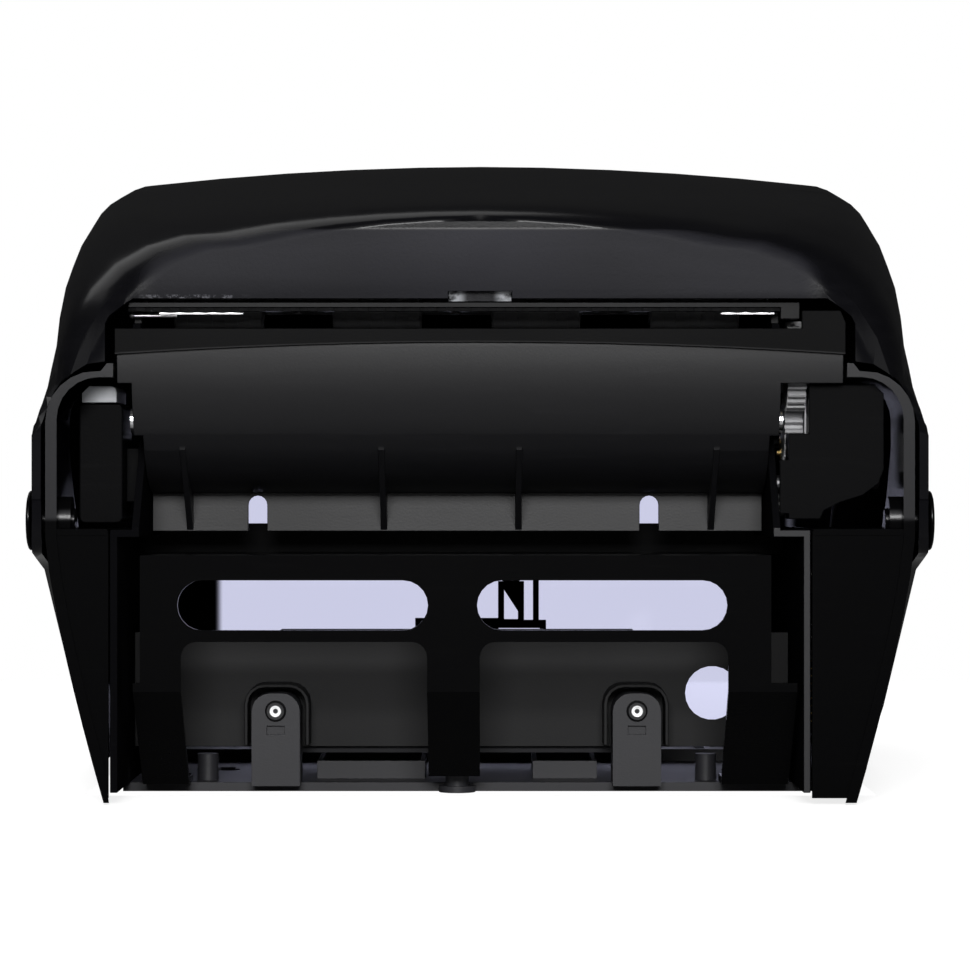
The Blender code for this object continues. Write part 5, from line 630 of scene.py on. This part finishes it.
SOFT_PARTS = {
    "cover_shell": 0.0, "belly_panel": 0.0004, "slotted_tray": 0.0005, "floor_panel": 0.0003,
    "left_housing": 0.0004, "right_housing": 0.0004, "left_partition": 0.0003,
    "right_partition": 0.0003, "back_plate": 0.0003, "hinge_pin_left": 0.0006,
    "hinge_pin_right": 0.0006, "gearbox_case": 0.0003, "power_module": 0.0004,
    "power_module_cap": 0.0003, "front_rail": 0.0002, "roll_hub_left": 0.0003,
    "roll_hub_right": 0.0003, "roll_arm_left": 0.0003, "roll_arm_right": 0.0003,
    "battery_box": 0.0003, "battery_door": 0.0003, "control_box": 0.0004, "drive_sleeve": 0.0002,
    "pinch_sleeve": 0.0002, "sensor_lens": 0.0002, "latch_plate": 0.0003, "feed_motor": 0.0004,
}
for part, width in SOFT_PARTS.items():
    softened(part, width)
print("softened:", len(SOFT_PARTS))

# %% [markdown]
# ## Springs that shorten
#
# The pinch roller is pushed back by thick paper, and two small springs behind it shorten.  Here
# each spring gets a smooth copy with a mesh of its own.

# %% Pinch springs
for part in ("pinch_spring_left", "pinch_spring_right"):
    spring = softened(part, 0.0)
    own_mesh(spring)

# %% [markdown]
# ## Things that repeat
#
# The rollers' tyres have thin moulded rings, the roll hubs have grip ribs, and the circuit board
# has rows of pins and dozens of tiny parts.  Each is one shape repeated, so a Geometry Nodes tree
# makes it: a line or circle of points, one instance on each.  The tree is evaluated once and kept
# as a plain mesh, so nothing is left that could change later.  A scripting loop could do the same,
# but the tree's named inputs say what repeats and how often.

# %% Trees and the pieces they grow


def geometry_tree(name, kinds):
    """An empty tree with named inputs."""
    tree = bpy.data.node_groups.new(name, "GeometryNodeTree")
    tree.interface.new_socket("Geometry", in_out="OUTPUT", socket_type="NodeSocketGeometry")
    for label, kind in kinds.items():
        tree.interface.new_socket(label, in_out="INPUT", socket_type="NodeSocket" + kind)
    wiring = Wiring(tree)
    start = tree.nodes.new("NodeGroupInput")
    return tree, wiring, {label: Flow(wiring, start.outputs[label]) for label in kinds}


def end_tree(wiring, shape, material):
    """Realizes the instances, sets the material and ends the tree."""
    real = wiring.add("GeometryNodeRealizeInstances", None, {"Geometry": shape})
    done = wiring.add("GeometryNodeSetMaterial", None, {"Geometry": real, "Material": material})
    end = wiring.tree.nodes.new("NodeGroupOutput")
    wiring.tree.links.new(done.socket, end.inputs["Geometry"])
    return wiring.tree


def grown(name, tree, values, body, path=()):
    """A plain mesh from a tree, moving with a body."""
    start = bpy.data.meshes.new(name + "_start")
    start.from_pydata(path, [(n, n + 1) for n in range(len(path) - 1)], [])
    carrier = bpy.data.objects.new(name + "_carrier", start)
    bpy.context.scene.collection.objects.link(carrier)
    modifier = carrier.modifiers.new("grow", "NODES")
    modifier.node_group = tree
    for item in tree.interface.items_tree:
        if item.in_out == "INPUT" and item.name in values:
            modifier[item.identifier] = values[item.name]
    graph = bpy.context.evaluated_depsgraph_get()
    data = bpy.data.meshes.new_from_object(carrier.evaluated_get(graph))
    data.name = name
    bpy.data.objects.remove(carrier)
    bpy.data.meshes.remove(start)
    data.shade_smooth()
    data.set_sharp_from_angle(angle=SHARP)
    piece = bpy.data.objects.new(name, data)
    bpy.context.scene.collection.objects.link(piece)
    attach(piece, body)
    print(name, "has", len(data.polygons), "faces")
    return piece


print("ready: trees with named inputs")

# %% [markdown]
# ## Rings on the tyres
#
# Each feed roller has four rubber tyres with thin moulded rings round them, for grip.  Rings could
# be turned in the rubber's own mesh, but they are alike, so one ring is swept from two circles, set
# eight times in a row, and the row is set on each tyre.

# %% Rings on the tyres
TYRE_MIDDLES = (-0.0864, -0.0340, 0.0185, 0.0708)
RINGS = 8
RING_THICKNESS = 0.00015
DRIVE_AXIS = (-0.1430, -0.1830)
PINCH_AXIS = (-0.1643, -0.1830)


def ring_tree():
    """Rows of rings round the X axis."""
    tree, wiring, given = geometry_tree("rings_in_rows", {
        "Rows": "Int", "Row Start": "Vector", "Row Step": "Vector", "Rings": "Int",
        "Ring Step": "Vector", "Radius": "Float", "Thickness": "Float", "Material": "Material",
    })
    loop = wiring.add("GeometryNodeCurvePrimitiveCircle", None,
                      {"Resolution": 40, "Radius": given["Radius"]})
    profile = wiring.add("GeometryNodeCurvePrimitiveCircle", None,
                         {"Resolution": 6, "Radius": given["Thickness"]})
    ring = wiring.add("GeometryNodeCurveToMesh", None, {"Curve": loop, "Profile Curve": profile})
    ring = wiring.add("GeometryNodeTransform", None,
                      {"Geometry": ring, "Rotation": (0.0, math.pi / 2, 0.0)})
    rings = wiring.add("GeometryNodeMeshLine", None,
                       {"Count": given["Rings"], "Offset": given["Ring Step"]})
    row = wiring.add("GeometryNodeInstanceOnPoints", None, {"Points": rings, "Instance": ring})
    rows = wiring.add("GeometryNodeMeshLine", None, {
        "Count": given["Rows"], "Start Location": given["Row Start"], "Offset": given["Row Step"],
    })
    shape = wiring.add("GeometryNodeInstanceOnPoints", None, {"Points": rows, "Instance": row})
    return end_tree(wiring, shape, given["Material"])


rings = ring_tree()
for name, node, centre, radius, length in (
    ("drive_rings", "drive_sleeve", DRIVE_AXIS, 0.01195, 0.0350),
    ("pinch_rings", "pinch_sleeve", PINCH_AXIS, 0.00895, 0.0290),
):
    step = length / (RINGS - 1)
    grown(name, rings, {
        "Rows": len(TYRE_MIDDLES), "Row Start": (TYRE_MIDDLES[0] - length / 2, *centre),
        "Row Step": (TYRE_MIDDLES[1] - TYRE_MIDDLES[0], 0.0, 0.0), "Rings": RINGS,
        "Ring Step": (step, 0.0, 0.0), "Radius": radius, "Thickness": RING_THICKNESS,
        "Material": roller_rubber,
    }, BODY_OF[node])

# %% [markdown]
# ## Ribs on the roll hubs
#
# A towel roll sits on two hubs, whose ribs keep its cardboard core from slipping.  A circle of
# points carries one thin cylinder each, and the whole circle is turned to lie round the hub.  Cut
# into the hub's own mesh they would be harder to count and to change.

# %% Ribs on the roll hubs
HUB_AXIS = (-0.116, 0.027)
HUB_RIBS = 14


def rib_tree():
    """Round ribs along the X axis, set in a circle."""
    tree, wiring, given = geometry_tree("ribs_round_a_hub", {
        "Centre": "Vector", "Count": "Int", "Radius": "Float", "Length": "Float",
        "Thickness": "Float", "Material": "Material",
    })
    places = wiring.add("GeometryNodeMeshCircle", None,
                        {"Vertices": given["Count"], "Radius": given["Radius"]})
    rib = wiring.add("GeometryNodeMeshCylinder", None, {
        "Vertices": 10, "Radius": given["Thickness"], "Depth": given["Length"],
    })
    ribs = wiring.add("GeometryNodeInstanceOnPoints", None, {"Points": places, "Instance": rib})
    shape = wiring.add("GeometryNodeTransform", None, {
        "Geometry": ribs, "Translation": given["Centre"], "Rotation": (0.0, math.pi / 2, 0.0),
    })
    return end_tree(wiring, shape, given["Material"])


ribs = rib_tree()
for name, node, middle in (("hub_ribs_left", "roll_hub_left", -0.1085),
                           ("hub_ribs_right", "roll_hub_right", 0.0931)):
    grown(name, ribs, {
        "Centre": (middle, *HUB_AXIS), "Count": HUB_RIBS, "Radius": 0.0182, "Length": 0.0052,
        "Thickness": 0.0006, "Material": hub_black,
    }, BODY_OF[node])

# %% [markdown]
# ## Pins of the circuit board
#
# A row of square brass pins stands on the board for a plug.  It is one cube on a line of points,
# at the standard pitch of a tenth of an inch, so the count alone sets how long the row is.

# %% Pins of the circuit board
PIN_PITCH = 0.00254
PINS = 9


def pin_tree():
    """A row of square pins."""
    tree, wiring, given = geometry_tree("pins_in_a_row", {
        "Start": "Vector", "Step": "Vector", "Count": "Int", "Size": "Vector",
        "Material": "Material",
    })
    pin = wiring.add("GeometryNodeMeshCube", None, {"Size": given["Size"]})
    places = wiring.add("GeometryNodeMeshLine", None, {
        "Count": given["Count"], "Start Location": given["Start"], "Offset": given["Step"],
    })
    shape = wiring.add("GeometryNodeInstanceOnPoints", None, {"Points": places, "Instance": pin})
    return end_tree(wiring, shape, given["Material"])


grown("board_pins", pin_tree(), {
    "Start": (BOARD_FACE + 0.002, -0.0440, -0.1520), "Step": (0.0, PIN_PITCH, 0.0), "Count": PINS,
    "Size": (0.004, 0.0006, 0.0006), "Material": turned_brass,
}, "frame")

# %% [markdown]
# ## Small parts of the circuit board
#
# Resistors and capacitors cover the board in no order that shows.  Placing dozens by hand is slow,
# so points are strewn on a grid, never nearer than a set distance, and about half of the parts are
# turned by a quarter.  The seed is fixed, so that every run strews them alike.

# %% Small parts of the circuit board


def scatter_tree():
    """Small parts strewn over a board that faces +X, none nearer than a set distance."""
    tree, wiring, given = geometry_tree("parts_on_a_board", {
        "Centre": "Vector", "Depth": "Float", "Height": "Float", "Apart": "Float",
        "Size": "Vector", "Seed": "Int", "Material": "Material",
    })
    field = wiring.add("GeometryNodeMeshGrid", None, {
        "Size X": given["Height"], "Size Y": given["Depth"], "Vertices X": 2, "Vertices Y": 2,
    })
    places = wiring.add("GeometryNodeDistributePointsOnFaces", {"distribute_method": "POISSON"}, {
        "Mesh": field, "Distance Min": given["Apart"], "Density Max": 60000.0,
        "Seed": given["Seed"],
    })
    chance = wiring.add("FunctionNodeRandomValue", {"data_type": "FLOAT"}, {"Seed": given["Seed"]},
                        output=1)
    quarter = chance.sum("GREATER_THAN", chance, 0.5) * (math.pi / 2)
    turned = wiring.add("ShaderNodeCombineXYZ", None, {"Z": quarter})
    part = wiring.add("GeometryNodeMeshCube", None, {"Size": given["Size"]})
    parts = wiring.add("GeometryNodeInstanceOnPoints", None,
                       {"Points": places, "Instance": part, "Rotation": turned})
    shape = wiring.add("GeometryNodeTransform", None, {
        "Geometry": parts, "Translation": given["Centre"], "Rotation": (0.0, math.pi / 2, 0.0),
    })
    return end_tree(wiring, shape, given["Material"])


grown("board_parts", scatter_tree(), {
    "Centre": (BOARD_FACE + 0.0003, -0.048, -0.120), "Depth": 0.060, "Height": 0.060,
    "Apart": 0.0042, "Size": (0.0016, 0.0008, 0.0007), "Seed": 5, "Material": case_black,
}, "frame")

# %% [markdown]
# ## Wires
#
# Two wires run from the feed motor to the plug on the circuit board, and four more join the board
# to the control box above it.  A wire follows a path, so its tree takes a chain of points, draws a
# smooth curve through them and sweeps a small circle along it.  A curve object would look the same,
# but one tree gives all six wires, each from its own points.

# %% Wires


def wire_tree():
    """A round wire along a chain of points."""
    tree, wiring, given = geometry_tree("wire_along_a_path", {
        "Path": "Geometry", "Thickness": "Float", "Material": "Material",
    })
    path = wiring.add("GeometryNodeMeshToCurve", None, {"Mesh": given["Path"]})
    path = wiring.add("GeometryNodeCurveSplineType", {"spline_type": "CATMULL_ROM"},
                      {"Curve": path})
    path = wiring.add("GeometryNodeResampleCurve", None, {"Curve": path, "Count": 40})
    profile = wiring.add("GeometryNodeCurvePrimitiveCircle", None,
                         {"Resolution": 10, "Radius": given["Thickness"]})
    shape = wiring.add("GeometryNodeCurveToMesh", None,
                       {"Curve": path, "Profile Curve": profile, "Fill Caps": True})
    return end_tree(wiring, shape, given["Material"])


MOTOR_WIRE_RADIUS = 0.0007
BOX_WIRE_RADIUS = 0.0005
BOX_WIRE_PITCH = 0.0016
wires = wire_tree()
for name, colour, side in (
    ("motor_wire_blue", wire_blue, 0.0), ("motor_wire_black", wire_black, 0.003),
):
    grown(name, wires, {"Thickness": MOTOR_WIRE_RADIUS, "Material": colour}, "frame", [
        (0.1240, -0.1120 + side, -0.1485), (0.1245, -0.1105 + side, -0.1380),
        (0.1225, -0.0960 + side, -0.1250), (0.1215, -0.0800 + side, -0.1100),
        (0.1175, -0.0720 + side, -0.0990),
    ])
for number in range(4):
    depth = -0.0620 + BOX_WIRE_PITCH * number
    values = {"Thickness": BOX_WIRE_RADIUS, "Material": wire_black}
    grown(f"box_wire_{number + 1}", wires, values, "frame", [
        (0.1125, depth, -0.0745), (0.1145, depth + 0.001, -0.0800),
        (0.1108, depth + 0.002, -0.0890),
    ])

# %% [markdown]
# ## Camera
#
# The camera is below, looking straight up along the wall, and the dispenser's front is at the top
# of the picture.  Its distance and focal length were solved together from how fast the inner walls
# draw in towards the far roof, because a guess would give the right outline and the wrong depth.

# %% Camera
SENSOR_WIDTH = 36.0
FOCAL_PIXELS = 3935.0
FRAME_PIXELS = 970.0
CAMERA_PLACE = (0.0016, -0.1037, -1.488)
camera_data = bpy.data.cameras.new("camera")
camera_data.sensor_width = SENSOR_WIDTH
camera_data.lens = SENSOR_WIDTH * FOCAL_PIXELS / FRAME_PIXELS
camera_data.clip_end = 20.0
camera = bpy.data.objects.new("camera", camera_data)
camera.location = CAMERA_PLACE
camera.rotation_euler = (math.pi, 0.0, 0.0)
bpy.context.scene.collection.objects.link(camera)
bpy.context.scene.camera = camera
print("focal length:", round(camera_data.lens, 2), "mm")

# %% [markdown]
# ## White sweep
#
# The wall is stood in for by a white sheet just behind the wall face.  A sheet alone would hide the
# dispenser's back, so it is clear when seen from behind, and open where the back plate is, which
# lets the rear lamp reach it.  Its glow shows only to the eye and through clear plastic, so that it
# looks white without being a lamp.

# %% Sweep
PAPER_GREY = (0.50, 0.50, 0.50, 1.0)
PAPER_GLOW = 0.80
BACK_HALF_WIDTH = 0.1335
BACK_BOTTOM, BACK_TOP = -0.1645, 0.1525


def sweep():
    """White sheet behind the wall face, unseen from behind and open where the back plate is."""
    mesh = bpy.data.meshes.new("sweep")
    reach, y, top = 6.0, 0.0008, 0.6
    mesh.from_pydata([(-reach, y, -reach), (reach, y, -reach), (reach, y, top), (-reach, y, top)],
                     [], [(0, 1, 2, 3)])
    material, wiring, place = new_material("white_sweep")
    seen = wiring.add("ShaderNodeLightPath", None, None, output=0)
    through = wiring.add("ShaderNodeLightPath", None, None, output=6)
    paper = wiring.add("ShaderNodeBsdfPrincipled", None, {
        "Base Color": PAPER_GREY,
        "Roughness": 0.9,
        "Specular IOR Level": 0.0,
        "Emission Color": (1.0, 1.0, 1.0, 1.0),
        "Emission Strength": (seen | through) * PAPER_GLOW,
    })
    behind = wiring.add("ShaderNodeNewGeometry", None, None, output=6)
    across, _, height = axes_of(wiring, place)
    window = wiring.band(abs(across), 0.0, BACK_HALF_WIDTH, 0.0001)
    window = window * wiring.band(height, BACK_BOTTOM, BACK_TOP, 0.0001)
    hole = wiring.add("ShaderNodeBsdfTransparent")
    show(wiring, wiring.mixed(behind | window, paper, hole))
    mesh.materials.append(material)
    piece = bpy.data.objects.new("sweep", mesh)
    bpy.context.scene.collection.objects.link(piece)


sweep()
print("sweep: open over", 2 * BACK_HALF_WIDTH, "by", BACK_TOP - BACK_BOTTOM)

# %% [markdown]
# ## World
#
# The surroundings are white for the eye and through clear plastic, and a soft grey as light on the
# object.  In gloss they are darker still, a little less so near the horizon.  A white room would be
# simpler, and more true to metal, but it turns black plastic grey.

# %% World
LIGHT_LEVEL = 0.09
GLOSS_LEVEL = 0.02
HORIZON_LIFT = 0.03


def world():
    """White to look at, soft grey as light, dim in gloss."""
    sky = bpy.data.worlds.new("studio")
    bpy.context.scene.world = sky
    sky.use_nodes = True
    sky.node_tree.nodes.clear()
    wiring = Wiring(sky.node_tree)
    seen = wiring.add("ShaderNodeLightPath", None, None, output=0)
    glossy = wiring.add("ShaderNodeLightPath", None, None, output=3)
    through = wiring.add("ShaderNodeLightPath", None, None, output=6)
    way = wiring.add("ShaderNodeTexCoord", None, None, output=0)
    up = wiring.add("ShaderNodeSeparateXYZ", None, {0: way}, output=2)
    horizon = wiring.band(up, -0.22, 0.22, 0.15)
    dimming = glossy * ((LIGHT_LEVEL - GLOSS_LEVEL) - horizon * HORIZON_LIFT)
    level = LIGHT_LEVEL - dimming + (seen | through) * (1.0 - LIGHT_LEVEL)
    shader = wiring.add("ShaderNodeBackground", None, {
        "Color": (1.0, 1.0, 1.0, 1.0), "Strength": level,
    })
    end = sky.node_tree.nodes.new("ShaderNodeOutputWorld")
    sky.node_tree.links.new(shader.socket, end.inputs["Surface"])


world()
print("light level:", LIGHT_LEVEL, "in gloss:", GLOSS_LEVEL)

# %% [markdown]
# ## Lamps
#
# The strongest soft box stands almost in line with the camera, so the underside is lit evenly.
# Weak boxes at the front and sides round the edges, and three more serve the views from above,
# from the room and from behind.  A lamp is a rectangle, because a point would leave hard shadows.

# %% Lamps


def lamp(name, place, target, size, power):
    """Soft box that points at a target."""
    data = bpy.data.lights.new(name, "AREA")
    data.shape = "RECTANGLE"
    data.size, data.size_y = size
    data.energy = power
    light = bpy.data.objects.new(name, data)
    light.location = place
    aim = Vector(target) - Vector(place)
    light.rotation_euler = aim.to_track_quat("-Z", "Y").to_euler()
    bpy.context.scene.collection.objects.link(light)
    return light


MIDDLE = (0.0, -0.11, -0.05)
lamp("key_box", (0.0, -0.75, -2.2), MIDDLE, (0.8, 0.5), 45.0)
lamp("front_box", (0.0, -1.35, -1.55), MIDDLE, (1.3, 0.7), 3.0)
lamp("left_box", (-1.5, -0.6, -0.9), MIDDLE, (0.6, 1.0), 2.5)
lamp("right_box", (1.5, -0.6, -0.9), MIDDLE, (0.6, 1.0), 2.5)
lamp("top_box", (0.0, -1.2, 1.4), MIDDLE, (1.4, 0.9), 8.0).visible_glossy = False
lamp("room_box", (-0.9, -1.9, 0.9), (0.0, -0.1, 0.1), (2.2, 1.4), 12.0)
lamp("rear_box", (1.2, 1.6, 0.6), MIDDLE, (1.0, 1.0), 25.0)
bpy.context.scene.view_settings.view_transform = "Standard"
print("lamps:", len(bpy.data.lights))
